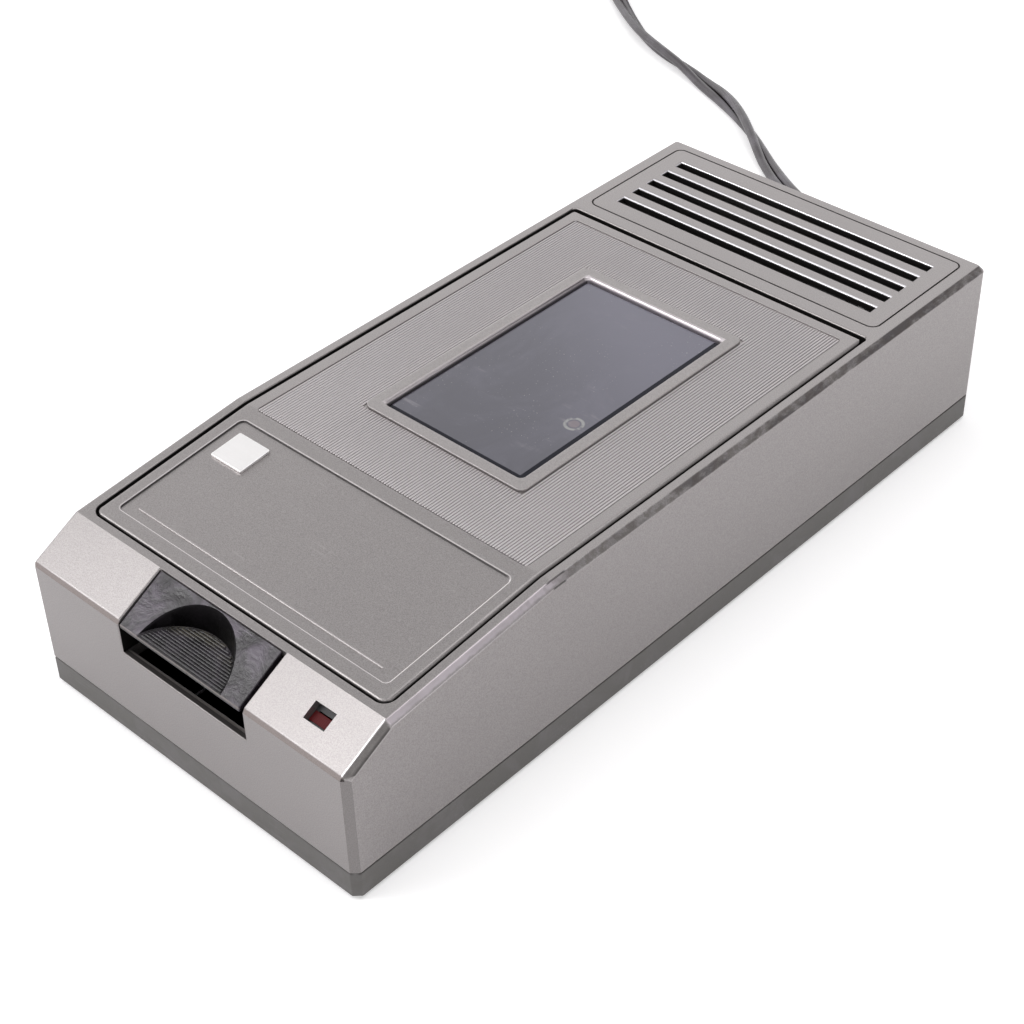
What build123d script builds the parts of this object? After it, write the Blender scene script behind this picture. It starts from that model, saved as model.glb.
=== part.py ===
from build123d import *

import os
from math import atan2, cos, degrees, hypot, pi, sin, tan, radians

# Tabletop rewinder for full-size video cassettes. All lengths are millimetres.
# Frame: +X to the right seen from the front, +Y to the back, +Z up, origin on the table under the case.

# ---------------------------------------------------------------- driving dimensions: cassette
cassette_width = 102.7
cassette_length = 187.4
cassette_height = 25.0
reel_spacing = 91.5
reel_offset = 4.7  # from the cassette's centre line to its reels
cassette_play = 1.0

# ---------------------------------------------------------------- driving dimensions: case
side_bay = 10.9  # from the cassette's play to the case's side, with the cassette in the middle
front_bay = 21.55  # from the case's front face to the cassette's play
rear_bay = 69.05  # from the cassette's play to the case's rear face
cassette_shift = -2.8  # the cassette lies this far right of the middle
case_height = 57.85  # from the base's underside to the flat rear part of the top
wall = 2.4
base_height = 9.0  # visible height of the dark base tray
base_floor = 2.2
seam_depth = 0.7  # shadow groove between the tray and the housing
seam_height = 0.7
front_height = 43.3  # from the base's underside to the foot of the bevel
bevel_run = 16.5
bevel_top_height = 51.85  # from the base's underside to the head of the bevel
bend_distance = 76.55  # from the front to the line where the top turns flat
corner_cut = 2.0  # chamfer on the upright front corners
rear_corner_radius = 2.5
top_cut = 1.76  # chamfer along both long top edges
brow_cut = 1.0  # chamfer between the front face and the bevel

foot_height = 1.2
foot_recess = 0.8
foot_radius = 5.0
foot_play = 0.1
foot_inset_x = 13.25
foot_inset_y = 28.0

# ---------------------------------------------------------------- driving dimensions: lid
lid_side_margin = 5.4
lid_front_margin = 19.85  # from the case's front face to the lid's front edge
lid_rear_margin = 59.25  # from the lid's rear edge to the case's rear face
lid_thickness = 2.6
lid_gap = 0.9
lid_rear_gap = 1.2
lid_corner_radius = 3.0
opening_rear_radius = 1.5  # tighter than the lid's, so that the lid's corners roll past
lid_edge_radius = 1.6  # rounded rear edge that rolls past the housing
lid_rim_radius = 1.2  # rounded side edges
skirt_thickness = 2.0
skirt_height = 6.0
hinge_inset = 2.4  # from the lid's rear edge to the hinge line
hinge_drop = 3.0  # from the top surface to the hinge line
hinge_pin_radius = 1.2
hinge_play = 0.05
knuckle_radius = 2.6
knuckle_length = 6.0
ear_length = 12.0
ear_height = 8.0
lip_thickness = 2.0  # stiffening lip under the opening's rear edge

panel_depth = 0.5  # recessed panels in the lid
badge_panel_side = 4.6  # from the lid's side
badge_panel_margin = 4.75  # from the lid's front edge
badge_panel_length = 46.8
badge_panel_radius = 4.0
rib_field_side = 4.65  # from the lid's side
rib_field_margin = 4.55  # from the lid's rear edge
rib_field_front = 56.45  # from the lid's front edge
rib_field_radius = 1.5
bezel_width = 62.7
bezel_length = 98.0
bezel_rear_margin = 24.25  # from the lid's rear edge
bezel_rise = 0.5
bezel_border = 4.4
bezel_radius = 2.5
window_lip = 3.0
window_thickness = 1.8
window_sink = 1.6  # from the bezel's rim down to the window's face
window_edge_radius = 0.9
badge_width = 12.8
badge_length = 11.5
badge_thickness = 0.9
badge_inset_x = 4.2
badge_inset_y = 4.6
rule_side = 4.6  # from the recessed panel's side
rule_thickness = 0.6
rule_rise = 0.3
rule_margin = 3.6

# ---------------------------------------------------------------- driving dimensions: vents
slot_count = 5
slot_side = 12.35  # from the case's side to a slot's end
slot_width = 3.6
slot_pitch = 7.62
slot_front_margin = 15.1  # from the lid's rear edge to the centre line of the first slot
vent_groove = 0.6
vent_groove_depth = 0.5
vent_panel_side = 5.65  # from the case's side
vent_panel_margin = 6.2  # from the lid's rear edge
vent_panel_rear = 4.75  # from the case's rear face
vent_panel_radius = 5.0

# ---------------------------------------------------------------- driving dimensions: eject button
notch_width = 50.2
sill_height = 32.3  # from the base's underside to the sill under the button
button_side_gap = 1.0
button_shift = -0.6
button_top_gap = 0.2
button_front_gap = 0.3
button_nose_sink = 0.9  # the button's face lies this much under the bevel's foot
button_head_sink = 0.4  # and this much under the bevel's head
button_floor = 1.2
scoop_floor_drop = 0.8  # from the bevel's foot down to the scoop's floor
scoop_radius = 17.15
scoop_depth = 13.6  # on the floor, from the button's nose to the scoop's back
scoop_lean = 12.5  # degrees; the scoop's wall leans back as it rises
button_web = 3.0
button_pin_radius = 1.25
button_play = 0.05
barrel_radius = 3.0
pivot_distance = 16.0  # from the front face to the button's pivot
pivot_height = 32.8  # from the base's underside to the button's pivot
cheek_thickness = 2.2
spring_wire = 0.4
spring_turns = 6
leg_gap = 0.4
spring_gap_width = 8.0
hook_width = 12.0
hook_thickness = 2.0
latch_clearance = 0.4
catch_width = 14.0
catch_thickness = 1.5
nose_height = 1.6
catch_height = 43.4  # top of the catch's nose above the base's underside
leaf_width = 8.0
leaf_thickness = 0.5
leaf_span = 60.0
leaf_shift = 12.0
leaf_spacing = 82.0
leaf_gap = 1.0  # over a cassette, with the lid shut

# ---------------------------------------------------------------- driving dimensions: pilot light
led_hole_width = 7.6
led_hole_length = 5.4
led_side = 18.05  # from the case's side
led_distance = 8.9  # from the front face, level
led_width = 5.0
led_depth = 2.6
led_sink = 2.4
led_length = 7.0
led_holder_wall = 1.2

# ---------------------------------------------------------------- driving dimensions: cassette deck
deck_height = 14.5  # top of the deck plate above the table
deck_thickness = 2.0
deck_side_gap = 3.35
deck_front_rim = 1.0
deck_rear_rim = 13.05
guide_height = 8.0
guide_thickness = 1.8
guide_length = 18.0
rest_height = 3.0
rest_size = 8.0
tongue_half = 21.0
tongue_rim = 5.2
deck_screw_length = 8.0
switch_offset = 8.0  # from the driven reel's centre to the lid switch
switch_width = 5.4
switch_length = 12.0
switch_height = 14.0
leaf_pitch = 2.0
contact_thickness = 0.4
finger_gap = 0.4
finger_length = 4.0

# ---------------------------------------------------------------- driving dimensions: reel drive
shaft_radius = 2.0
shaft_play = 0.05
bush_radius = 4.0
bush_flange = 5.5
bush_flange_thickness = 1.0
spindle_flange_radius = 11.0
spindle_flange_thickness = 1.5
spindle_core_radius = 4.2
spindle_fin_radius = 7.6
spindle_fin_width = 1.7
spindle_fin_count = 3
spindle_rise = 10.0  # above the plane that the cassette rests on
washer_thickness = 0.5
end_play = 0.15
belt_wheel_radius = 18.0
belt_wheel_rim = 1.8
belt_wheel_height = 5.0
belt_wheel_bottom = 5.6
motor_pulley_radius = 4.0
belt_thickness = 1.6
belt_play = 0.1
motor_inset_x = 35.25  # from the case's right side
motor_inset_y = 37.0  # from the case's rear face
motor_radius = 13.8
motor_length = 32.5
motor_flat = 2.4
motor_shaft_radius = 1.0
motor_screw_spacing = 16.0
brake_disc_radius = 12.0
brake_disc_thickness = 3.0
brake_gap = 0.3
felt_thickness = 2.0
felt_overhang = 0.4
bracket_width = 10.0
bracket_thickness = 1.0
bracket_foot = 8.0

# ---------------------------------------------------------------- driving dimensions: power supply
core_inset_x = 32.25  # from the case's left side
core_inset_y = 35.0  # from the case's rear face
core_width = 42.0
core_height = 35.0
core_stack = 16.0
core_leg = 7.0
core_bottom = 9.0
bobbin_wall = 1.0
bobbin_depth = 30.0
strap_thickness = 0.8
strap_ear = 6.5
board_inset_x = 39.25  # from the case's right side
board_inset_y = 43.0  # from the case's front face
board_width = 42.0
board_length = 28.0
board_thickness = 1.6
board_standoff = 1.8

# ---------------------------------------------------------------- driving dimensions: screws
screw_radius = 1.5
screw_play = 0.02
screw_head_radius = 2.8
screw_head_height = 2.0
small_screw_radius = 1.25
small_head_radius = 2.2
small_head_height = 1.4
post_radius = 4.0
post_inset_x = 8.25
post_inset_y = 10.0
screw_grip = 12.0

# ---------------------------------------------------------------- driving dimensions: mains lead
cord_diameter = 7.0
cord_x = -25.0
relief_radius = 5.4
relief_tip_radius = 4.1
relief_length = 26.0
relief_neck_radius = 4.6
relief_flange_radius = 6.6
coil_x = -248.0
coil_y = 362.0
coil_exit_angle = 108.0
coil_mean_diameter = 72.0
coil_bundle_width = 22.0
coil_bundle_height = 14.0
tie_width = 8.0
tie_thickness = 1.2
plug_length = 30.0
plug_width = 24.0
plug_thickness = 12.0
blade_length = 17.0
blade_width = 6.3
blade_thickness = 1.5
blade_spacing = 12.7
blade_hole_radius = 1.5
plug_neck = 4.0
wire_radius = 0.9

# ---------------------------------------------------------------- derived places
case_width = cassette_width + 2 * (cassette_play + side_bay)
case_length = front_bay + cassette_length + 2 * cassette_play + rear_bay
half_width = case_width / 2
front_y = -case_length / 2
rear_y = case_length / 2
base_z = foot_height
floor_z = base_z + base_floor
seam_z = base_z + base_height
top_z = base_z + case_height
brow_z = base_z + front_height
bevel_z = base_z + bevel_top_height
bevel_y = front_y + bevel_run
bend_y = front_y + bend_distance
slope = (top_z - bevel_z) / (bend_y - bevel_y)
slope_angle = degrees(atan2(top_z - bevel_z, bend_y - bevel_y))
bevel_angle = degrees(atan2(bevel_z - brow_z, bevel_run))
inner_half = half_width - wall

lid_width = case_width - 2 * lid_side_margin
lid_length = case_length - lid_front_margin - lid_rear_margin
lid_front_y = front_y + lid_front_margin
lid_rear_y = lid_front_y + lid_length
lid_half = lid_width / 2
opening_half = lid_half + lid_gap
opening_front_y = lid_front_y - lid_gap
opening_rear_y = lid_rear_y + lid_rear_gap
hinge_y = lid_rear_y - hinge_inset
hinge_z = top_z - hinge_drop
badge_panel_width = lid_width - 2 * badge_panel_side
rule_width = badge_panel_width - 2 * rule_side
rib_field_width = lid_width - 2 * rib_field_side
rib_field_length = lid_length - rib_field_margin - rib_field_front
slot_length = case_width - 2 * slot_side
vent_panel_width = case_width - 2 * vent_panel_side
vent_panel_length = lid_rear_margin - vent_panel_margin - vent_panel_rear
led_x = half_width - led_side

sill_z = base_z + sill_height
pivot_y = front_y + pivot_distance
pivot_z = base_z + pivot_height
catch_top_z = base_z + catch_height

deck_z = deck_height
deck_bottom = deck_z - deck_thickness
rest_z = deck_z + rest_height
cassette_x = cassette_shift
cassette_y = front_y + front_bay + cassette_play + cassette_length / 2
reel_x = cassette_x - reel_offset
drive_reel_y = cassette_y + reel_spacing / 2
take_reel_y = cassette_y - reel_spacing / 2
spindle_bottom = deck_z + bush_flange_thickness + washer_thickness
spindle_top = rest_z + spindle_rise
deck_width = 2 * (inner_half - deck_side_gap)
deck_front = cassette_y - cassette_length / 2 - cassette_play - guide_thickness - deck_front_rim
deck_rear = cassette_y + cassette_length / 2 + cassette_play + deck_rear_rim
motor_x = half_width - motor_inset_x
motor_y = rear_y - motor_inset_y
core_x = core_inset_x - half_width
core_y = rear_y - core_inset_y
board_x = half_width - board_inset_x
board_y = front_y + board_inset_y
post_x = half_width - post_inset_x
post_y = rear_y - post_inset_y
foot_x = half_width - foot_inset_x
foot_y = rear_y - foot_inset_y
tongue_rear = motor_y + motor_radius + tongue_rim
switch_x = cassette_x + cassette_width / 2 + cassette_play + 0.2
switch_y = drive_reel_y + switch_offset
contact_z = deck_z + switch_height


def surface_z(y):
    """Height of the top surface at y: sloped in front of the bend, flat behind it."""
    return top_z if y >= bend_y else top_z + (y - bend_y) * slope


def bevel_surface_z(y):
    """Height of the bevelled front's surface at y."""
    return brow_z + (y - front_y) * (bevel_z - brow_z) / bevel_run


def block(x0, x1, y0, y1, z0, z1, mode=Mode.ADD):
    """A rectangular block between two corners, in the part that is being built."""
    with Locations(((x0 + x1) / 2, (y0 + y1) / 2, (z0 + z1) / 2)):
        Box(x1 - x0, y1 - y0, z1 - z0, mode=mode)


def post(x, y, z0, z1, radius, mode=Mode.ADD):
    """An upright cylinder from z0 to z1, in the part that is being built."""
    with Locations((x, y, (z0 + z1) / 2)):
        Cylinder(radius, z1 - z0, mode=mode)


def cross_rod(x0, x1, y, z, radius, mode=Mode.ADD):
    """A cylinder along X from x0 to x1, in the part that is being built."""
    with Locations(((x0 + x1) / 2, y, z)):
        Cylinder(radius, x1 - x0, rotation=(0, 90, 0), mode=mode)


def slope_plane(x, y, lift=0.0):
    """Plane on the lid's sloped front part at (x, y), raised by lift along the surface's normal."""
    tilt = radians(slope_angle)
    normal = Vector(0, -sin(tilt), cos(tilt))
    origin = Vector(x, y, surface_z(y)) + normal * lift
    return Plane(origin=origin, x_dir=(1, 0, 0), z_dir=normal)


def bevel_plane(x, y, lift=0.0):
    """Plane on the bevelled front at (x, y), raised by lift along the surface's normal."""
    tilt = radians(bevel_angle)
    normal = Vector(0, -sin(tilt), cos(tilt))
    origin = Vector(x, y, bevel_surface_z(y)) + normal * lift
    return Plane(origin=origin, x_dir=(1, 0, 0), z_dir=normal)


def wall_profile():
    """Corner points (y, z) of the housing's side view."""
    return [
        (front_y, seam_z),
        (front_y, brow_z),
        (bevel_y, bevel_z),
        (bend_y, top_z),
        (rear_y, top_z),
        (rear_y, seam_z),
    ]


def band_profile(y0, y1, high, low):
    """Side view of a sheet that follows the bent top between two depths under the surface."""
    return [
        (y0, surface_z(y0) - low),
        (y0, surface_z(y0) - high),
        (bend_y, top_z - high),
        (y1, top_z - high),
        (y1, top_z - low),
        (bend_y, top_z - low),
    ]


corner_posts = [(sx * post_x, sy * post_y) for sx in (-1, 1) for sy in (-1, 1)]
deck_posts = [
    (sx * (deck_width / 2 - post_radius - 1.0), y)
    for sx in (-1, 1)
    for y in (deck_front + 26.0, cassette_y, deck_rear - 5.0)
]
strap_posts = [
    (core_x + sx * (core_width / 2 + strap_thickness + strap_ear / 2), core_y) for sx in (-1, 1)
]
board_posts = [
    (board_x + sx * (board_width / 2 - 3.0), board_y + sy * (board_length / 2 - 3.0))
    for sx in (-1, 1)
    for sy in (-1, 1)
]
feet_places = [(sx * foot_x, sy * foot_y) for sx in (-1, 1) for sy in (-1, 1)]


# ---------------------------------------------------------------- case
def build_envelope():
    """Outer shape of the upper housing, before it is hollowed."""
    with BuildPart() as envelope:
        with BuildSketch(Plane.YZ):
            Polygon(*wall_profile(), align=None)
        extrude(amount=half_width, both=True)
        uprights = envelope.edges().filter_by(Axis.Z)
        chamfer(uprights.group_by(Axis.Y)[0], corner_cut)
        uprights = envelope.edges().filter_by(Axis.Z)
        fillet(uprights.group_by(Axis.Y)[-1], rear_corner_radius)
        flanks = envelope.edges().filter_by(
            lambda e: abs(e.center().X) > half_width - 0.01 and e.center().Z > brow_z + 0.5
        )
        chamfer(flanks.filter_by(lambda e: e.center().Y < rear_y - rear_corner_radius), top_cut)
        brow = envelope.edges().filter_by(Axis.X).filter_by(
            lambda e: abs(e.center().Z - brow_z) < 0.01 and abs(e.center().Y - front_y) < 0.01
        )
        chamfer(brow, brow_cut)
    return envelope


def build_upper_housing(envelope):
    """Painted shell with the lid opening, vent slots, button notch and pilot light hole."""
    with BuildPart() as upper_housing:
        add(envelope.part)
        with BuildSketch(Plane.YZ):
            Polygon(*wall_profile(), align=None)
            offset(amount=-wall, kind=Kind.INTERSECTION, mode=Mode.REPLACE)
        extrude(amount=inner_half, both=True, mode=Mode.SUBTRACT)
        mouth = (-inner_half, inner_half, front_y + wall, rear_y - wall)
        block(*mouth, seam_z, seam_z + 2 * wall, Mode.SUBTRACT)

        # Cheeks beside the button, ears for the hinge and posts for the case screws.
        for side in (-1, 1):
            cheek = sorted((side * notch_width / 2, side * (notch_width / 2 + cheek_thickness)))
            block(*cheek, front_y + wall, opening_front_y, pivot_z - barrel_radius - 1.5, top_z)
            ear = sorted((side * opening_half, side * (inner_half + 0.1)))
            block(*ear, hinge_y - ear_length / 2, opening_rear_y, hinge_z - ear_height / 2, top_z - 0.5)
        for x, y in corner_posts:
            post(x, y, seam_z - 1.2, top_z, post_radius)
        lip = (opening_rear_y, opening_rear_y + lip_thickness)
        block(-inner_half - 0.1, inner_half + 0.1, *lip, top_z - 2 * wall, top_z - wall)

        # Opening for the lid.
        with BuildSketch(Plane.XY.offset(top_z + 1.0)) as opening:
            with Locations((0, (opening_front_y + opening_rear_y) / 2)):
                Rectangle(2 * opening_half, opening_rear_y - opening_front_y)
            fillet(opening.vertices().group_by(Axis.Y)[0], lid_corner_radius + lid_gap)
            fillet(opening.vertices().group_by(Axis.Y)[-1], opening_rear_radius)
        extrude(amount=-(top_z + 1.0 - surface_z(opening_front_y) + 2 * wall), mode=Mode.SUBTRACT)

        # Notch for the eject button, from the bevel's head down to the sill.
        block(-notch_width / 2, notch_width / 2, front_y - 1.0, bevel_y, sill_z, top_z + 1.0, Mode.SUBTRACT)

        # Vent slots and the shallow groove that frames them.
        first_slot = lid_rear_y + slot_front_margin
        with BuildSketch(Plane.XY.offset(top_z + 1.0)):
            with Locations([(0, first_slot + i * slot_pitch) for i in range(slot_count)]):
                Rectangle(slot_length, slot_width)
        extrude(amount=-(2 * wall + 1.0), mode=Mode.SUBTRACT)
        vent_y = lid_rear_y + vent_panel_margin + vent_panel_length / 2
        with BuildSketch(Plane.XY.offset(top_z)):
            with Locations((0, vent_y)):
                RectangleRounded(vent_panel_width, vent_panel_length, vent_panel_radius)
                RectangleRounded(
                    vent_panel_width - 2 * vent_groove,
                    vent_panel_length - 2 * vent_groove,
                    vent_panel_radius - vent_groove,
                    mode=Mode.SUBTRACT,
                )
        extrude(amount=-vent_groove_depth, mode=Mode.SUBTRACT)

        # Pilot light hole, square to the bevel.
        with BuildSketch(bevel_plane(led_x, front_y + led_distance, 1.0)):
            Rectangle(led_hole_width, led_hole_length)
        extrude(amount=-(wall + 1.5), mode=Mode.SUBTRACT)

        # Bores: hinge, button pivot, screw pilots, and the upper half of the lead's exit.
        ear_reach = inner_half + wall / 2
        cross_rod(-ear_reach, ear_reach, hinge_y, hinge_z, hinge_pin_radius + hinge_play, Mode.SUBTRACT)
        cheek_reach = notch_width / 2 + cheek_thickness
        cross_rod(-cheek_reach - 1, cheek_reach + 1, pivot_y, pivot_z, button_pin_radius, Mode.SUBTRACT)
        for x, y in corner_posts:
            post(x, y, seam_z - 2.0, seam_z + screw_grip, screw_radius + screw_play, Mode.SUBTRACT)
        with Locations((cord_x, rear_y, seam_z)):
            Cylinder(relief_neck_radius, 4 * wall, rotation=(90, 0, 0), mode=Mode.SUBTRACT)
        add(envelope_and_posts(envelope), mode=Mode.INTERSECT)
    return upper_housing


def envelope_and_posts(envelope):
    """The housing's outer shape with the stubs of its screw posts, which reach into the tray."""
    with BuildPart() as limit:
        add(envelope.part)
        for x, y in corner_posts:
            post(x, y, seam_z - 1.2, seam_z + 1.0, post_radius)
    return limit.part


def build_base_tray():
    """Dark tray that closes the case from below, with bosses for screws, deck, transformer and board."""
    with BuildPart() as base_tray:
        with BuildSketch(Plane.XY.offset(base_z)) as outline:
            Rectangle(case_width, case_length)
            chamfer(outline.vertices().group_by(Axis.Y)[0], corner_cut)
            fillet(outline.vertices().group_by(Axis.Y)[-1], rear_corner_radius)
        extrude(amount=base_height)
        with BuildSketch(Plane.XY.offset(floor_z)):
            Rectangle(case_width - 2 * wall, case_length - 2 * wall)
        extrude(amount=base_height, mode=Mode.SUBTRACT)
        with BuildSketch(Plane.XY.offset(seam_z - seam_height)):
            Rectangle(case_width + 10, case_length + 10)
            Rectangle(case_width - 2 * seam_depth, case_length - 2 * seam_depth, mode=Mode.SUBTRACT)
        extrude(amount=seam_height, mode=Mode.SUBTRACT)
        for x, y in corner_posts:
            post(x, y, floor_z, seam_z - 1.2, post_radius + 0.5)
        for x, y in deck_posts:
            post(x, y, floor_z, deck_bottom, post_radius)
        for x, y in strap_posts:
            post(x, y, floor_z, core_bottom - strap_thickness, post_radius - 0.8)
        for x, y in board_posts:
            post(x, y, floor_z, floor_z + board_standoff, post_radius - 1.2)
        for y in (drive_reel_y, take_reel_y):
            post(reel_x, y, floor_z, belt_wheel_bottom - 0.6, bush_radius)
        for x, y in corner_posts:
            post(x, y, base_z, base_z + 1.0 + screw_head_height, screw_head_radius + 0.4, Mode.SUBTRACT)
            post(x, y, base_z, seam_z, screw_radius + 0.3, Mode.SUBTRACT)
        for x, y in deck_posts:
            post(x, y, deck_bottom - 7.0, deck_bottom, small_screw_radius + screw_play, Mode.SUBTRACT)
        for x, y in strap_posts:
            post(x, y, floor_z, core_bottom, small_screw_radius + screw_play, Mode.SUBTRACT)
        for x, y in board_posts:
            post(x, y, base_z + 1.0, floor_z + board_standoff, small_screw_radius + screw_play, Mode.SUBTRACT)
        for y in (drive_reel_y, take_reel_y):
            post(reel_x, y, floor_z, belt_wheel_bottom, shaft_radius + shaft_play, Mode.SUBTRACT)
        for x, y in feet_places:
            post(x, y, base_z, base_z + foot_recess, foot_radius + foot_play, Mode.SUBTRACT)
        with Locations((cord_x, rear_y, seam_z)):
            Cylinder(relief_neck_radius, 4 * wall, rotation=(90, 0, 0), mode=Mode.SUBTRACT)
    return base_tray


def build_rubber_feet():
    """Four rubber feet, pressed into shallow recesses under the tray."""
    with BuildPart() as rubber_feet:
        for x, y in feet_places:
            post(x, y, 0.0, base_z + foot_recess, foot_radius)
        chamfer(rubber_feet.edges().group_by(Axis.Z)[0], 0.4)
    return rubber_feet


def screw(x, y, seat_z, length, radius, head_radius, head_height, direction):
    """One pan-head screw in the part that is being built; direction +1 points its tip up, -1 down."""
    ends = sorted((seat_z, seat_z + direction * length))
    heads = sorted((seat_z, seat_z - direction * head_height))
    post(x, y, *ends, radius)
    post(x, y, *heads, head_radius)
    mouth = seat_z - direction * head_height
    slots = sorted((mouth, mouth + direction * head_height / 2))
    block(x - head_radius * 0.6, x + head_radius * 0.6, y - 0.35, y + 0.35, *slots, Mode.SUBTRACT)
    block(x - 0.35, x + 0.35, y - head_radius * 0.6, y + head_radius * 0.6, *slots, Mode.SUBTRACT)


def build_case_screws():
    """Four long screws that hold the housing to the tray."""
    seat = base_z + 1.0 + screw_head_height
    with BuildPart() as case_screws:
        for x, y in corner_posts:
            length = seam_z + screw_grip - 1.0 - seat
            screw(x, y, seat, length, screw_radius, screw_head_radius, screw_head_height, 1)
    return case_screws


# ---------------------------------------------------------------- cassette deck
def build_deck():
    """Plate that carries the cassette, the spindles and the motor, with low corner guides."""
    left = cassette_x - cassette_width / 2 - cassette_play
    right = cassette_x + cassette_width / 2 + cassette_play
    front = cassette_y - cassette_length / 2 - cassette_play
    rear = cassette_y + cassette_length / 2 + cassette_play
    with BuildPart() as deck:
        block(-deck_width / 2, deck_width / 2, deck_front, deck_rear, deck_bottom, deck_z)
        tongue = (motor_x - tongue_half, motor_x + tongue_half)
        block(*tongue, deck_rear - 1.0, tongue_rear, deck_bottom, deck_z)
        for x_edge, x_out, x_in in ((left, -1, 1), (right, 1, -1)):
            for y_edge, y_out, y_in in ((front, -1, 1), (rear, 1, -1)):
                xs = sorted((x_edge, x_edge + x_out * guide_thickness))
                ys = sorted((y_edge + y_out * guide_thickness, y_edge + y_in * guide_length))
                block(*xs, *ys, deck_z, deck_z + guide_height)
                xs = sorted((x_edge + x_out * guide_thickness, x_edge + x_in * guide_length))
                ys = sorted((y_edge, y_edge + y_out * guide_thickness))
                block(*xs, *ys, deck_z, deck_z + guide_height)
        for y in (drive_reel_y, take_reel_y):
            post(reel_x, y, deck_bottom, deck_z, bush_radius, Mode.SUBTRACT)
        for x, y in deck_posts:
            post(x, y, deck_bottom, deck_z, small_screw_radius + 0.2, Mode.SUBTRACT)
        post(motor_x, motor_y, deck_bottom, deck_z, motor_shaft_radius + 2.2, Mode.SUBTRACT)
        for side in (-1, 1):
            x = motor_x + side * motor_screw_spacing / 2
            post(x, motor_y, deck_bottom, deck_z, small_screw_radius + 0.1, Mode.SUBTRACT)
    return deck


def rest_places():
    """Centres of the cassette's rests, inside its corners."""
    dx = cassette_width / 2 - rest_size
    dy = cassette_length / 2 - 2.2 * rest_size
    return [(cassette_x + sx * dx, cassette_y + sy * dy) for sx in (-1, 1) for sy in (-1, 0.1, 1)]


def build_cassette_rests():
    """Soft pads that the cassette rests on."""
    with BuildPart() as cassette_rests:
        for x, y in rest_places():
            half = rest_size / 2
            block(x - half, x + half, y - half, y + half, deck_z, rest_z)
        chamfer(cassette_rests.edges().group_by(Axis.Z)[-1], 0.5)
    return cassette_rests


def build_deck_screws():
    """Screws that hold the deck to the tray's posts."""
    with BuildPart() as deck_screws:
        for x, y in deck_posts:
            head = (small_head_radius, small_head_height)
            screw(x, y, deck_z, deck_screw_length, small_screw_radius, *head, -1)
    return deck_screws


# ---------------------------------------------------------------- reels
def build_spindle_bushes():
    """Two flanged brass bushes in the deck."""
    with BuildPart() as spindle_bushes:
        for y in (drive_reel_y, take_reel_y):
            post(reel_x, y, deck_bottom, deck_z, bush_radius)
            post(reel_x, y, deck_z, deck_z + bush_flange_thickness, bush_flange)
            top = deck_z + bush_flange_thickness
            post(reel_x, y, deck_bottom, top, shaft_radius + shaft_play, Mode.SUBTRACT)
    return spindle_bushes


def build_thrust_washers():
    """Nylon washers between the bushes and the spindles."""
    top = deck_z + bush_flange_thickness
    with BuildPart() as thrust_washers:
        for y in (drive_reel_y, take_reel_y):
            post(reel_x, y, top, top + washer_thickness - end_play, bush_flange - 0.5)
            post(reel_x, y, top, top + washer_thickness, shaft_radius + 0.2, Mode.SUBTRACT)
    return thrust_washers


def build_spindle(y):
    """Spindle that a cassette's reel drops over: flange, core and tapered fins."""
    flange_top = spindle_bottom + spindle_flange_thickness
    fin_top = spindle_top - 2.0
    with BuildPart() as spindle:
        post(reel_x, y, spindle_bottom, flange_top, spindle_flange_radius)
        post(reel_x, y, flange_top, spindle_top, spindle_core_radius)
        reach = (spindle_core_radius - 0.5 + spindle_fin_radius) / 2
        with Locations((reel_x, y, (flange_top + fin_top) / 2)):
            with PolarLocations(reach, spindle_fin_count, start_angle=90):
                Box(spindle_fin_radius - spindle_core_radius + 0.5, spindle_fin_width, fin_top - flange_top)
        tips = spindle.edges().filter_by(Axis.Z, reverse=True).filter_by(
            lambda e: abs(e.center().Z - fin_top) < 0.01
            and hypot(e.center().X - reel_x, e.center().Y - y) > spindle_fin_radius - 0.5
        )
        chamfer(tips, 1.6)
        rim = spindle.edges().filter_by(GeomType.CIRCLE).group_by(Axis.Z)[-1]
        chamfer(rim, 0.5)
        post(reel_x, y, spindle_bottom, spindle_top, shaft_radius, Mode.SUBTRACT)
    return spindle


def build_shaft(y, bottom):
    """Steel shaft that a spindle is pressed on."""
    with BuildPart() as shaft:
        post(reel_x, y, bottom, spindle_top - 1.0, shaft_radius)
        chamfer(shaft.edges().filter_by(GeomType.CIRCLE), 0.3)
    return shaft


def grooved_wheel(x, y, groove_radius, rim, bottom, height, bore):
    """A belt wheel with two flanges, in the part that is being built."""
    cheek = (height - belt_thickness - 2 * belt_play) / 2
    post(x, y, bottom, bottom + height, groove_radius)
    post(x, y, bottom, bottom + cheek, groove_radius + rim)
    post(x, y, bottom + height - cheek, bottom + height, groove_radius + rim)
    post(x, y, bottom - 1, bottom + height + 1, bore, Mode.SUBTRACT)


def build_belt_wheel():
    """Large belt wheel on the driven spindle's shaft, lightened by round holes."""
    with BuildPart() as belt_wheel:
        grooved_wheel(
            reel_x, drive_reel_y, belt_wheel_radius, belt_wheel_rim, belt_wheel_bottom,
            belt_wheel_height, shaft_radius,
        )
        with Locations((reel_x, drive_reel_y, belt_wheel_bottom + belt_wheel_height / 2)):
            with PolarLocations(belt_wheel_radius * 0.58, 5):
                Cylinder(belt_wheel_radius * 0.17, belt_wheel_height, mode=Mode.SUBTRACT)
    return belt_wheel


def build_brake_disc():
    """Plain disc on the free spindle's shaft, for the felt brake."""
    with BuildPart() as brake_disc:
        post(reel_x, take_reel_y, belt_wheel_bottom, deck_bottom - 1.0, bush_radius)
        disc_top = belt_wheel_bottom + brake_disc_thickness
        post(reel_x, take_reel_y, belt_wheel_bottom, disc_top, brake_disc_radius)
        post(reel_x, take_reel_y, belt_wheel_bottom, deck_bottom, shaft_radius, Mode.SUBTRACT)
    return brake_disc


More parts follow.
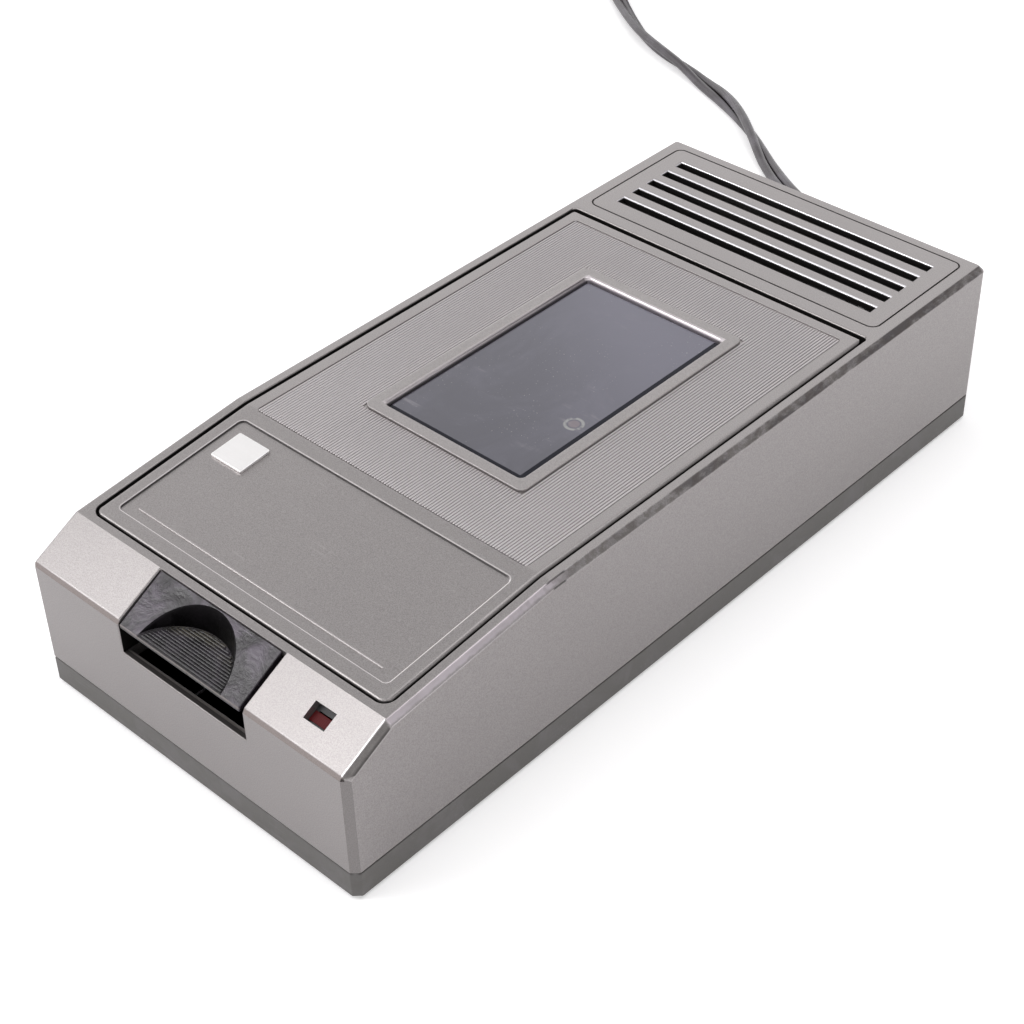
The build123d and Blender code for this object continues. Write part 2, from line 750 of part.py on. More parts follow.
def build_brake():
    """Bracket on the tray's floor and its felt pad beside the brake disc."""
    edge = reel_x + brake_disc_radius + brake_gap
    back = edge + felt_thickness
    foot = back + bracket_thickness
    low = belt_wheel_bottom - felt_overhang
    high = belt_wheel_bottom + brake_disc_thickness + felt_overhang
    near = take_reel_y - bracket_width / 2
    far = take_reel_y + bracket_width / 2
    with BuildPart() as brake_felt:
        block(edge, back, near + 1.0, far - 1.0, low, high)
    with BuildPart() as brake_bracket:
        block(back, foot, near, far, floor_z, high + 1.0)
        block(foot, foot + bracket_foot, near, far, floor_z, floor_z + bracket_thickness)
    return brake_felt, brake_bracket


# ---------------------------------------------------------------- motor and belt
def build_motor():
    """Motor can with flattened sides, its plastic end cap and the screws that hold it under the deck."""
    with BuildPart() as motor_can:
        with BuildSketch(Plane.XY.offset(deck_z)):
            with Locations((motor_x, motor_y)):
                Circle(motor_radius)
                Rectangle(2 * motor_radius - motor_flat, 2 * motor_radius, mode=Mode.INTERSECT)
        extrude(amount=motor_length)
        fillet(motor_can.edges().group_by(Axis.Z)[-1], 1.5)
        post(motor_x, motor_y, deck_z, deck_z + motor_length, motor_shaft_radius + shaft_play, Mode.SUBTRACT)
        for side in (-1, 1):
            x = motor_x + side * motor_screw_spacing / 2
            post(x, motor_y, deck_z, deck_z + 4.0, small_screw_radius, Mode.SUBTRACT)
    with BuildPart() as motor_cap:
        top = deck_z + motor_length
        post(motor_x, motor_y, top, top + 2.0, motor_radius - 3.0)
        post(motor_x, motor_y, top, top + 2.0, motor_shaft_radius + 0.4, Mode.SUBTRACT)
        for side in (-1, 1):
            x = motor_x + side * (motor_radius - 5.5)
            block(x - 0.3, x + 0.3, motor_y - 1.5, motor_y + 1.5, top + 2.0, top + 6.0)
    with BuildPart() as motor_screws:
        for side in (-1, 1):
            x = motor_x + side * motor_screw_spacing / 2
            screw(x, motor_y, deck_bottom, 5.5, small_screw_radius, small_head_radius, small_head_height, 1)
    return motor_can, motor_cap, motor_screws


def build_rotor():
    """Motor shaft and the small belt wheel on its lower end."""
    pulley_bottom = belt_wheel_bottom
    with BuildPart() as motor_shaft:
        post(motor_x, motor_y, pulley_bottom, deck_z + motor_length + 1.5, motor_shaft_radius)
    with BuildPart() as motor_pulley:
        grooved_wheel(
            motor_x, motor_y, motor_pulley_radius, 1.4, pulley_bottom, belt_wheel_height, motor_shaft_radius
        )
    return motor_shaft, motor_pulley


def build_drive_belt():
    """Square-section belt round both wheels."""
    low = belt_wheel_bottom + belt_wheel_height / 2 - belt_thickness / 2
    with BuildPart() as drive_belt:
        for grow, mode in ((belt_play + belt_thickness, Mode.ADD), (belt_play, Mode.SUBTRACT)):
            with BuildSketch(Plane.XY.offset(low)) as loop:
                with Locations((reel_x, drive_reel_y)):
                    Circle(belt_wheel_radius + grow)
                with Locations((motor_x, motor_y)):
                    Circle(motor_pulley_radius + grow)
                make_hull()
            extrude(loop.sketch, amount=belt_thickness, mode=mode)
    return drive_belt


# ---------------------------------------------------------------- power supply
def build_transformer():
    """Laminated core, bobbin, winding and strap of the mains transformer."""
    x0 = core_x - core_width / 2
    x1 = core_x + core_width / 2
    z0 = core_bottom
    z1 = core_bottom + core_height
    y0 = core_y - core_stack / 2
    y1 = core_y + core_stack / 2
    leg0 = core_x - core_leg
    leg1 = core_x + core_leg
    with BuildPart() as transformer_core:
        block(x0, x1, y0, y1, z0, z1)
        block(x0 + core_leg, leg0, y0, y1, z0 + core_leg, z1 - core_leg, Mode.SUBTRACT)
        block(leg1, x1 - core_leg, y0, y1, z0 + core_leg, z1 - core_leg, Mode.SUBTRACT)
    low = z0 + core_leg
    high = z1 - core_leg
    d0 = core_y - bobbin_depth / 2
    d1 = core_y + bobbin_depth / 2
    w0 = x0 + core_leg + 0.2
    w1 = x1 - core_leg - 0.2
    with BuildPart() as transformer_bobbin:
        block(w0, w1, d0, d1, low, low + bobbin_wall)
        block(w0, w1, d0, d1, high - bobbin_wall, high)
        block(leg0 - bobbin_wall, leg1 + bobbin_wall, y0 - bobbin_wall, y1 + bobbin_wall, low, high)
        block(leg0, leg1, y0, y1, low, high, Mode.SUBTRACT)
    with BuildPart() as transformer_winding:
        with BuildSketch(Plane.XY.offset(low + bobbin_wall)):
            with Locations((core_x, core_y)):
                RectangleRounded(w1 - w0 - 1.6, bobbin_depth - 2.0, 4.0)
                Rectangle(2 * (core_leg + bobbin_wall), core_stack + 2 * bobbin_wall, mode=Mode.SUBTRACT)
        extrude(amount=high - low - 2 * bobbin_wall)
    with BuildPart() as transformer_strap:
        s = strap_thickness
        ya = core_y - core_stack / 2 + 2.0
        yb = core_y + core_stack / 2 - 2.0
        block(x0 - s, x1 + s, ya, yb, z1, z1 + s)
        for side, x in ((-1, x0), (1, x1)):
            block(*sorted((x, x + side * s)), ya, yb, z0 - s, z1)
            block(*sorted((x, x + side * (s + strap_ear))), ya, yb, z0 - s, z0)
        for x, y in strap_posts:
            post(x, y, z0 - s, z0, small_screw_radius + 0.1, Mode.SUBTRACT)
    with BuildPart() as transformer_screws:
        for x, y in strap_posts:
            screw(x, y, z0, 5.0, small_screw_radius, small_head_radius, small_head_height, -1)
    return transformer_core, transformer_bobbin, transformer_winding, transformer_strap, transformer_screws


def axial_part(x, y, z, length, radius, lead_span):
    """A component on two bent leads, standing on the board, in the part that is being built."""
    with Locations((x, y, z)):
        Cylinder(radius, length, rotation=(0, 90, 0))
        Cylinder(0.35, lead_span, rotation=(0, 90, 0))
    for side in (-1, 1):
        lead_x = x + side * (lead_span / 2 - 0.35)
        post(lead_x, y, board_top(), z + 0.3, 0.35)


def board_top():
    """Height of the circuit board's upper face."""
    return floor_z + board_standoff + board_thickness


def build_electronics():
    """Circuit board under the deck with its components and screws."""
    under = floor_z + board_standoff
    top = board_top()
    with BuildPart() as circuit_board:
        with BuildSketch(Plane.XY.offset(under)):
            with Locations((board_x, board_y)):
                Rectangle(board_width, board_length)
            with Locations(*board_posts):
                Circle(small_screw_radius + 0.2, mode=Mode.SUBTRACT)
        extrude(amount=board_thickness)
    with BuildPart() as board_screws:
        for x, y in board_posts:
            screw(x, y, top, 4.5, small_screw_radius, small_head_radius, small_head_height, -1)
    with BuildPart() as rectifier_diodes:
        for i in range(4):
            axial_part(board_x - 9.0, board_y - 6.6 + i * 4.4, top + 1.6, 5.2, 1.35, 10.0)
    with BuildPart() as resistors:
        for i in range(3):
            axial_part(board_x + 10.0, board_y + 1.0 + i * 3.6, top + 1.4, 6.3, 1.1, 10.0)
    with BuildPart() as smoothing_capacitor:
        with Locations((board_x + 6.0, board_y - 7.0, top + 2.6)):
            Cylinder(2.6, 11.0, rotation=(0, 90, 0))
        fillet(smoothing_capacitor.edges().filter_by(GeomType.CIRCLE), 0.4)
    with BuildPart() as wire_connector:
        cx = board_x + 1.0
        block(cx - 2.6, cx + 2.6, board_y + 5.0, board_y + 12.4, top, top + 4.2)
        for i in range(3):
            y = board_y + 6.2 + i * 2.5
            block(cx - 1.8, cx + 1.8, y - 0.8, y + 0.8, top + 1.2, top + 4.2, Mode.SUBTRACT)
    return circuit_board, board_screws, rectifier_diodes, resistors, smoothing_capacitor, wire_connector


def build_lid_switch():
    """Leaf switch on the deck beside the cassette, pressed by a finger under the lid."""
    rear = switch_y + switch_length
    with BuildPart() as lid_switch:
        block(switch_x, switch_x + switch_width, switch_y, rear, deck_z, contact_z)
    with BuildPart() as switch_leaves:
        low = switch_x + switch_width / 2 - 2.0
        high = low + 4.0
        for z in (contact_z, contact_z + leaf_pitch):
            block(low, high, switch_y, 2 * rear - switch_y, z, z + contact_thickness)
        block(low, high, switch_y, switch_y + 4.0, contact_z, contact_z + leaf_pitch)
        tip = 2 * rear - switch_y - 3.0
        post((low + high) / 2, tip, contact_z, contact_z + leaf_pitch / 2, 1.0)
    return lid_switch, switch_leaves


def build_pilot_light():
    """Rectangular lens sunk under the bevel and the holder that grips it."""
    y = front_y + led_distance
    with BuildPart() as pilot_lens:
        with BuildSketch(bevel_plane(led_x, y, -led_sink)):
            Rectangle(led_width, led_depth)
        extrude(amount=-led_length)
    with BuildPart() as pilot_holder:
        with BuildSketch(bevel_plane(led_x, y, -wall)):
            Rectangle(led_hole_width + 2 * led_holder_wall, led_hole_length + led_holder_wall)
        extrude(amount=-(led_length - 1.5))
        with BuildSketch(bevel_plane(led_x, y, -wall)):
            Rectangle(led_width, led_depth)
        extrude(amount=-led_length, mode=Mode.SUBTRACT)
    return pilot_lens, pilot_holder


# ---------------------------------------------------------------- lid
def window_rect():
    """Centre y, width and length of the window opening in the bezel."""
    y = lid_rear_y - bezel_rear_margin - bezel_length / 2
    return y, bezel_width - 2 * bezel_border, bezel_length - 2 * bezel_border


def build_lid_panel():
    """Bent lid with recessed panels, raised window bezel, skirt, hinge knuckles and switch finger."""
    window_y, window_w, window_l = window_rect()
    with BuildPart() as lid_panel:
        with BuildSketch(Plane.YZ):
            Polygon(*band_profile(lid_front_y, lid_rear_y, 0.0, lid_thickness), align=None)
        extrude(amount=lid_half, both=True)
        rear_edge = lid_panel.edges().filter_by(Axis.X).group_by(Axis.Y)[-1].sort_by(Axis.Z)[-1]
        fillet(rear_edge, lid_edge_radius)
        sides = lid_panel.edges().filter_by(lambda e: abs(e.center().X) > lid_half - 0.01)
        rims = sides.filter_by(lambda e: abs(e.center().Z - surface_z(e.center().Y)) < 0.01)
        fillet(rims, lid_rim_radius)

        # Skirt along the front and both sides.
        skirt_rear = hinge_y - 2 * knuckle_radius
        with BuildSketch(Plane.YZ):
            depths = (lid_rim_radius + 0.1, lid_thickness + skirt_height)
            Polygon(*band_profile(lid_front_y, skirt_rear, *depths), align=None)
        extrude(amount=lid_half, both=True)
        with BuildSketch(Plane.YZ):
            within = (lid_front_y + skirt_thickness, skirt_rear + 1.0)
            Polygon(*band_profile(*within, lid_thickness, lid_thickness + 2 * skirt_height), align=None)
        extrude(amount=lid_half - skirt_thickness, both=True, mode=Mode.SUBTRACT)
        for side in (-1, 1):
            ends = sorted((side * (lid_half - 1.0), side * (lid_half - 1.0 - knuckle_length)))
            cross_rod(*ends, hinge_y, hinge_z, knuckle_radius)
            bore = sorted((side * (lid_half + 1.0), side * (lid_half - 1.0 - knuckle_length)))
            cross_rod(*bore, hinge_y, hinge_z, hinge_pin_radius, Mode.SUBTRACT)

        # Plan corners.
        with BuildSketch(Plane.XY.offset(top_z - 6 * skirt_height)) as plan:
            with Locations((0, (lid_front_y + lid_rear_y) / 2)):
                Rectangle(lid_width, lid_length)
            fillet(plan.vertices(), lid_corner_radius)
        extrude(amount=7 * skirt_height, mode=Mode.INTERSECT)

        # Ribbed field: a shallow recess with the bezel standing in it.
        field_rear = lid_rear_y - rib_field_margin
        field_front = field_rear - rib_field_length
        with BuildSketch(Plane.XY.offset(top_z)):
            with Locations((0, (field_front + field_rear) / 2)):
                RectangleRounded(rib_field_width, rib_field_length, rib_field_radius)
        extrude(amount=-panel_depth, mode=Mode.SUBTRACT)
        with BuildSketch(Plane.XY.offset(top_z - panel_depth - 0.1)):
            with Locations((0, window_y)):
                RectangleRounded(bezel_width, bezel_length, bezel_radius)
        extrude(amount=panel_depth + 0.1 + bezel_rise)

        # Plain recessed panel on the slope, with a thin raised rule near its front edge.
        panel_front = lid_front_y + badge_panel_margin
        panel_mid = panel_front + badge_panel_length / 2 * cos(radians(slope_angle))
        with BuildSketch(slope_plane(0, panel_mid)):
            RectangleRounded(badge_panel_width, badge_panel_length, badge_panel_radius)
        extrude(amount=-panel_depth, mode=Mode.SUBTRACT)
        with BuildSketch(slope_plane(0, panel_front + rule_margin, -panel_depth - 0.1)):
            Rectangle(rule_width, rule_thickness)
        extrude(amount=rule_rise + 0.1)

        # Window opening.
        with BuildSketch(Plane.XY.offset(top_z + bezel_rise + 1.0)):
            with Locations((0, window_y)):
                RectangleRounded(window_w, window_l, bezel_radius - 1.0)
        extrude(amount=-(bezel_rise + lid_thickness + 2.0), mode=Mode.SUBTRACT)

        # Finger that presses the lid switch.
        finger_x = switch_x + switch_width / 2
        finger_y = switch_y + 2 * switch_length - finger_length - 4.0
        tip_z = contact_z + leaf_pitch + contact_thickness + finger_gap
        finger_root = top_z - lid_thickness + 0.5
        block(finger_x - 1.2, finger_x + 1.2, finger_y, finger_y + finger_length, tip_z, finger_root)
    return lid_panel


def build_lid_window():
    """Smoked window, cemented under the lid."""
    window_y, window_w, window_l = window_rect()
    high = top_z - lid_thickness
    with BuildPart() as lid_window:
        with BuildSketch(Plane.XY.offset(high)):
            with Locations((0, window_y)):
                Rectangle(window_w + 2 * window_lip, window_l + 2 * window_lip)
        extrude(amount=-window_thickness)
        with BuildSketch(Plane.XY.offset(high)):
            with Locations((0, window_y)):
                RectangleRounded(window_w - 0.2, window_l - 0.2, bezel_radius - 1.1)
        extrude(amount=lid_thickness + bezel_rise - window_sink)
        fillet(lid_window.faces().sort_by(Axis.Z)[-1].edges(), window_edge_radius)
    return lid_window


def build_badge_plate():
    """Plain plate in the recessed panel's rear left corner."""
    x = -badge_panel_width / 2 + badge_inset_x + badge_width / 2
    rear = lid_front_y + badge_panel_margin + badge_panel_length * cos(radians(slope_angle))
    y = rear - badge_inset_y - badge_length / 2
    with BuildPart() as badge_plate:
        with BuildSketch(slope_plane(x, y, -panel_depth)):
            RectangleRounded(badge_width, badge_length, 0.6)
        extrude(amount=badge_thickness)
    return badge_plate


def build_hinge_pins():
    """Two steel pins, pressed into the lid's knuckles and turning in the housing's ears."""
    reach = inner_half + wall / 2 - 0.5
    inner = lid_half - 1.0 - knuckle_length
    with BuildPart() as hinge_pins:
        for side in (-1, 1):
            cross_rod(*sorted((side * inner, side * reach)), hinge_y, hinge_z, hinge_pin_radius)
    return hinge_pins


def build_hold_down_springs():
    """Two bowed leaf springs under the lid that press on the cassette."""
    high = top_z - lid_thickness
    low = rest_z + cassette_height + leaf_gap
    start = cassette_y - leaf_span / 2 + leaf_shift
    middle = start + leaf_span / 2
    end = start + leaf_span
    foot = 3.0
    with BuildPart() as hold_down_springs:
        for x in (cassette_x - leaf_spacing / 2, cassette_x + leaf_spacing / 2):
            with BuildSketch(Plane.YZ.offset(x - leaf_width / 2)):
                with BuildLine():
                    ThreePointArc((start, high), (middle, low), (end, high))
                    Line((end, high), (end - foot, high))
                    ThreePointArc((end - foot, high), (middle, low + leaf_thickness), (start + foot, high))
                    Line((start + foot, high), (start, high))
                make_face()
            extrude(amount=leaf_width)
    return hold_down_springs


def build_latch_catch():
    """Catch behind the lid's front skirt; its nose points forward under the hook."""
    y0 = lid_front_y + skirt_thickness
    half = catch_width / 2
    top = surface_z(y0) - lid_thickness - 0.3
    with BuildPart() as latch_catch:
        block(-half, half, y0, y0 + catch_thickness, catch_top_z - nose_height, top)
        tip = lid_front_y - lid_gap + latch_clearance + 0.15
        block(-half, half, tip, y0 + catch_thickness, catch_top_z - nose_height, catch_top_z)
    return latch_catch


# ---------------------------------------------------------------- eject button
def build_eject_button():
    """Rocking button flush with the bevel: wedge with a half-round thumb scoop, webs and pivot barrel."""
    left = -notch_width / 2 + button_side_gap + button_shift
    right = notch_width / 2 - button_side_gap + button_shift
    mid = (left + right) / 2
    nose_y = front_y + button_front_gap
    back_y = bevel_y - button_top_gap
    floor_top = brow_z - scoop_floor_drop
    floor_low = floor_top - button_floor
    lean = radians(scoop_lean)
    with BuildPart() as eject_button:
        with BuildSketch(Plane.YZ.offset(left)):
            Polygon(
                (nose_y, floor_low),
                (nose_y, bevel_surface_z(nose_y) - button_nose_sink),
                (back_y, bevel_surface_z(back_y) - button_head_sink),
                (back_y, floor_low),
                align=None,
            )
        extrude(amount=right - left)
        with BuildSketch(Plane.XY.offset(floor_top)):
            with Locations((mid, nose_y + scoop_depth - scoop_radius)):
                Circle(scoop_radius)
        extrude(amount=bevel_run, dir=(0, sin(lean), cos(lean)), mode=Mode.SUBTRACT)

        # Webs down to the pivot barrel, which leaves room for the spring.
        for x0, x1 in ((left, left + button_web), (right - button_web, right)):
            with BuildSketch(Plane.YZ.offset(x0)):
                Polygon(
                    (pivot_y - 6.0, floor_low + 0.5),
                    (back_y, floor_low + 0.5),
                    (pivot_y + barrel_radius, pivot_z),
                    (pivot_y - barrel_radius, pivot_z),
                    align=None,
                )
            extrude(amount=x1 - x0)
        cross_rod(left, mid - spring_gap_width, pivot_y, pivot_z, barrel_radius)
        cross_rod(mid + spring_gap_width, right, pivot_y, pivot_z, barrel_radius)
        bore = button_pin_radius + button_play
        cross_rod(left - 1, right + 1, pivot_y, pivot_z, bore, Mode.SUBTRACT)
    return eject_button


def build_button_pin():
    """Steel pin through both cheeks."""
    reach = notch_width / 2 + cheek_thickness
    with BuildPart() as button_pin:
        cross_rod(-reach, reach, pivot_y, pivot_z, button_pin_radius)
    return button_pin


def build_latch_hook():
    """Hook fixed behind the button's wedge, reaching back over the catch's nose."""
    half = hook_width / 2
    back_y = bevel_y - button_top_gap
    floor_low = brow_z - scoop_floor_drop - button_floor
    tip = lid_front_y - lid_gap + 0.15
    low = catch_top_z + 0.4
    with BuildPart() as latch_hook:
        block(-half, half, back_y, back_y + hook_thickness, floor_low, low + nose_height)
        block(-half, half, back_y, tip, low, low + nose_height)
        long_edge = latch_hook.edges().filter_by(Axis.X).sort_by(Axis.Y)[-2:].sort_by(Axis.Z)[0]
        chamfer(long_edge, 0.6)
    return latch_hook


def build_button_spring():
    """Torsion spring round the pivot pin, its turns drawn as touching rings, with two legs."""
    ring = button_pin_radius + button_play + 0.35 + spring_wire
    pitch = 1.7 * spring_wire
    start = button_shift - (spring_turns - 1) * pitch / 2
    end = start + (spring_turns - 1) * pitch
    upper_leg = brow_z - scoop_floor_drop - button_floor - leg_gap - pivot_z
    lower_leg = pivot_y - leg_gap - front_y - wall
    leg_radius = 0.9 * spring_wire
    with BuildPart() as button_spring:
        with BuildSketch(Plane.XY.offset(pivot_z)):
            with Locations([(start + i * pitch, pivot_y + ring) for i in range(spring_turns)]):
                Circle(spring_wire)
        revolve(axis=Axis((0, pivot_y, pivot_z), (1, 0, 0)))
        post(start, pivot_y - ring, pivot_z - spring_wire, pivot_z + upper_leg, leg_radius)
        with Locations((end, pivot_y - lower_leg / 2 + spring_wire, pivot_z - ring)):
            Cylinder(leg_radius, lower_leg, rotation=(90, 0, 0))
    return button_spring


# ---------------------------------------------------------------- mains lead
cord_z = cord_diameter / 2
relief_tip_y = rear_y + relief_length
cord_route = [
    (cord_x, relief_tip_y, seam_z),
    (cord_x, 180.0, seam_z),
    (-29.5, 199.0, 8.4),
    (-46.0, 214.0, 4.6),
    (-75.0, 221.0, cord_z),
    (-119.5, 250.5, cord_z),
    (-154.0, 269.5, cord_z),
    (-190.0, 278.5, cord_z),
    (-217.0, 293.0, cord_z),
    (-252.8, 317.3, cord_z),
    (-272.5, 335.7, cord_z),
]


def corner_radii(points):
    """Bend radius at each inner point: 0.45 of the shorter run over the tangent of half the turn."""
    radii = []
    for a, b, c in zip(points, points[1:], points[2:]):
        before = Vector(*b) - Vector(*a)
        after = Vector(*c) - Vector(*b)
        turn = radians(before.get_angle(after))
        radii.append(0.45 * min(before.length, after.length) / tan(turn / 2))
    return radii


def build_tube(points, diameter):
    """A round tube along straight runs joined by tangent arcs."""
    radii = corner_radii(points)
    print("bend radii", [round(r, 1) for r in radii])
    with BuildPart() as tube:
        with BuildLine():
            path = FilletPolyline(*points, radius=radii)
        with BuildSketch(Plane(origin=points[0], z_dir=Vector(*points[1]) - Vector(*points[0]))):
            Circle(diameter / 2)
        sweep(path=path)
    filled = tube.part.volume / (pi * diameter**2 / 4 * path.length)
    print("length", round(path.length, 1), "volume over section times length", round(filled, 4))
    return tube


def build_strain_relief():
    """Tapered rubber boot with a neck clamped between housing and tray and a flange on each side."""
    inner_y = rear_y - wall
    with BuildPart() as strain_relief:
        with BuildSketch(Plane.YZ.offset(cord_x)):
            with BuildLine():
                Polyline(
                    (inner_y - 1.6, seam_z),
                    (inner_y - 1.6, seam_z + relief_flange_radius),
                    (inner_y, seam_z + relief_flange_radius),
                    (inner_y, seam_z + relief_neck_radius),
                    (rear_y, seam_z + relief_neck_radius),
                    (rear_y, seam_z + relief_flange_radius),
                    (rear_y + 1.6, seam_z + relief_flange_radius),
                    (rear_y + 2.4, seam_z + relief_radius),
                    (relief_tip_y, seam_z + relief_tip_radius),
                    (relief_tip_y, seam_z),
                    close=True,
                )
            make_face()
        revolve(axis=Axis((cord_x, 0, seam_z), (0, 1, 0)))
    return strain_relief


def coil_point(angle, radius):
    """Point on a circle round the coil's centre, on the cord's level."""
    return (coil_x + radius * cos(radians(angle)), coil_y + radius * sin(radians(angle)))


def build_coil():
    """Outer shape of the coiled length: a ring with rounded bundle section."""
    with BuildPart() as cord_coil:
        with BuildSketch(Plane.XZ.offset(-coil_y)):
            with Locations((coil_x + coil_mean_diameter / 2, coil_bundle_height / 2)):
                RectangleRounded(coil_bundle_width, coil_bundle_height, coil_bundle_height / 2 - 0.5)
        revolve(axis=Axis((coil_x, coil_y, 0), (0, 0, 1)))
    return cord_coil


def build_tie():
    """Strap round the coil's bundle, pulled into its underside."""
    with BuildPart() as cord_tie:
        with BuildSketch(Plane.XZ.offset(-coil_y + tie_width / 2)):
            with Locations((coil_x + coil_mean_diameter / 2, (coil_bundle_height + tie_thickness) / 2)):
                RectangleRounded(
                    coil_bundle_width + 2 * tie_thickness + 0.8, coil_bundle_height + tie_thickness, 3.0
                )
            with Locations((coil_x + coil_mean_diameter / 2, coil_bundle_height / 2 + tie_thickness / 2)):
                RectangleRounded(
                    coil_bundle_width + 0.8, coil_bundle_height - tie_thickness + 0.2, 2.4, mode=Mode.SUBTRACT
                )
        extrude(amount=-tie_width)
    return cord_tie


def tail_route():
    """Points from the coil to the plug, rising to the plug's middle."""
    heading = coil_exit_angle - 90.0
    x, y = coil_point(coil_exit_angle, coil_mean_diameter / 2)
    points = [(x, y, cord_z)]
    for step, turn, z in ((19.0, 0.0, cord_z), (20.0, -14.0, 4.4), (19.0, -12.0, plug_thickness / 2)):
        heading += turn
        x += step * cos(radians(heading))
        y += step * sin(radians(heading))
        points.append((x, y, z))
    return points, heading


def build_plug():
    """Two-pole plug lying flat: a tapered grip and its two blades."""
    points, heading = tail_route()
    along = Vector(cos(radians(heading)), sin(radians(heading)), 0)
    tip = Vector(*points[-1])
    flat = Plane(origin=(tip.X, tip.Y, 0), x_dir=along, z_dir=(0, 0, 1))
    face = Plane(origin=(tip.X, tip.Y, 0) + along * plug_length, x_dir=(0, 0, 1), z_dir=along)
    half = plug_width / 2
    with BuildPart() as plug_body:
        with BuildSketch(flat):
            Polygon(
                (0, -plug_neck),
                (plug_length * 0.62, -half),
                (plug_length, -half),
                (plug_length, half),
                (plug_length * 0.62, half),
                (0, plug_neck),
                align=None,
            )
        extrude(amount=plug_thickness)
        fillet(plug_body.edges().filter_by(lambda e: abs(e.center().Z - plug_thickness / 2) > 1.0), 1.5)
    with BuildPart() as plug_blades:
        for side in (-1, 1):
            with BuildSketch(face):
                with Locations((plug_thickness / 2, side * blade_spacing / 2)):
                    Rectangle(blade_width, blade_thickness)
            extrude(amount=blade_length)
            hole = Plane(origin=face.origin, x_dir=along, z_dir=along.cross(Vector(0, 0, 1)))
            with BuildSketch(hole.offset(half)):
                with Locations((blade_length - 4.0, plug_thickness / 2)):
                    Circle(blade_hole_radius)
            extrude(amount=-plug_width, mode=Mode.SUBTRACT)
    return plug_body, plug_blades


# ---------------------------------------------------------------- leads inside the case
def build_inner_leads():
    """Mains leads from the strain relief to the transformer, and supply leads to the circuit board."""
    start_y = rear_y - wall - 1.6
    winding_y = core_y + bobbin_depth / 2 - 0.5
    winding_x = core_x + core_width / 2 - core_leg - 3.0
    winding_front = core_y - bobbin_depth / 2
    winding_z = core_bottom + core_leg + 4.0
    under_deck = floor_z + wire_radius + 0.1
    side_x = board_x + board_width / 2
    with BuildPart() as mains_leads:
        for dx in (-1.4, 1.4):
            route = [
                (cord_x + dx, start_y, seam_z),
                (cord_x + dx, start_y - 7.0, seam_z),
                (cord_x + dx, start_y - 11.0, seam_z + 9.0),
                (cord_x + dx, winding_y, seam_z + 12.0),
            ]
            wire(route)
    with BuildPart() as supply_leads:
        for dx in (-1.0, 1.0):
            route = [
                (winding_x + dx, winding_front + 0.5, winding_z),
                (winding_x + dx, winding_front - 2.2, winding_z),
                (winding_x + 4.0 + dx, winding_front - 2.7, under_deck),
                (side_x + dx, winding_front - 22.0 + dx, under_deck),
                (side_x + dx, board_y + board_length / 2 + 12.0, under_deck),
                (side_x - 9.0 + dx, board_y + board_length / 2 + 1.0, under_deck),
            ]
            wire(route)
    return mains_leads, supply_leads


def wire(route):
    """A thin insulated wire along straight runs joined by arcs, in the part that is being built."""
    radii = [min(3.0, r) for r in corner_radii(route)]
    with BuildLine():
        path = FilletPolyline(*route, radius=radii)
    with BuildSketch(Plane(origin=route[0], z_dir=Vector(*route[1]) - Vector(*route[0]))) as section:
        Circle(wire_radius)
    sweep(section.sketch, path=path)


def build_all():
    """Every piece with its node's name."""
    yield build_upper_housing(build_envelope()), "upper_housing"
    yield build_base_tray(), "base_tray"
    yield build_rubber_feet(), "rubber_feet"
    yield build_case_screws(), "case_screws"
    yield build_deck(), "cassette_deck"
    yield build_cassette_rests(), "cassette_rests"
    yield build_deck_screws(), "deck_screws"
    yield build_spindle_bushes(), "spindle_bushes"
    yield build_thrust_washers(), "thrust_washers"
    yield build_spindle(drive_reel_y), "drive_spindle"
    yield build_spindle(take_reel_y), "free_spindle"
    yield build_shaft(drive_reel_y, floor_z + end_play), "drive_shaft"
    yield build_shaft(take_reel_y, floor_z + end_play), "free_shaft"
    yield build_belt_wheel(), "belt_wheel"
    yield build_brake_disc(), "brake_disc"
    yield from zip(build_brake(), ("brake_felt", "brake_bracket"))
    yield from zip(build_motor(), ("motor_can", "motor_cap", "motor_screws"))
    yield from zip(build_rotor(), ("motor_shaft", "motor_pulley"))
    yield build_drive_belt(), "drive_belt"
    transformer = ("core", "bobbin", "winding", "strap", "screws")
    yield from zip(build_transformer(), (f"transformer_{name}" for name in transformer))
    electronics = ("circuit_board", "board_screws", "rectifier_diodes", "resistors")
    yield from zip(build_electronics(), (*electronics, "smoothing_capacitor", "wire_connector"))
    yield from zip(build_lid_switch(), ("lid_switch", "switch_leaves"))
    yield from zip(build_pilot_light(), ("pilot_lens", "pilot_holder"))
    yield build_lid_panel(), "lid_panel"
    yield build_lid_window(), "lid_window"
    yield build_badge_plate(), "badge_plate"
    yield build_hinge_pins(), "hinge_pins"
    yield build_hold_down_springs(), "hold_down_springs"
    yield build_latch_catch(), "latch_catch"
    yield build_eject_button(), "eject_button"
    yield build_button_pin(), "button_pin"
    yield build_latch_hook(), "latch_hook"
    yield build_button_spring(), "button_spring"
    yield build_strain_relief(), "strain_relief"
    yield build_tube(cord_route, cord_diameter), "mains_cord"
    yield build_coil(), "cord_coil"
    yield build_tie(), "cord_tie"
    yield build_tube(tail_route()[0], cord_diameter), "cord_tail"
    yield from zip(build_plug(), ("plug_body", "plug_blades"))
    yield from zip(build_inner_leads(), ("mains_leads", "supply_leads"))


if __name__ == "__main__":
    os.makedirs("parts", exist_ok=True)
    for piece, name in build_all():
        piece.part.label = name
        export_step(piece.part, f"parts/{name}.step")
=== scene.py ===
"""Looks of a tabletop video cassette rewinder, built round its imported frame.

Every length is in metres, in the frame's own axes: X to the right, Y to the back, Z up.
"""

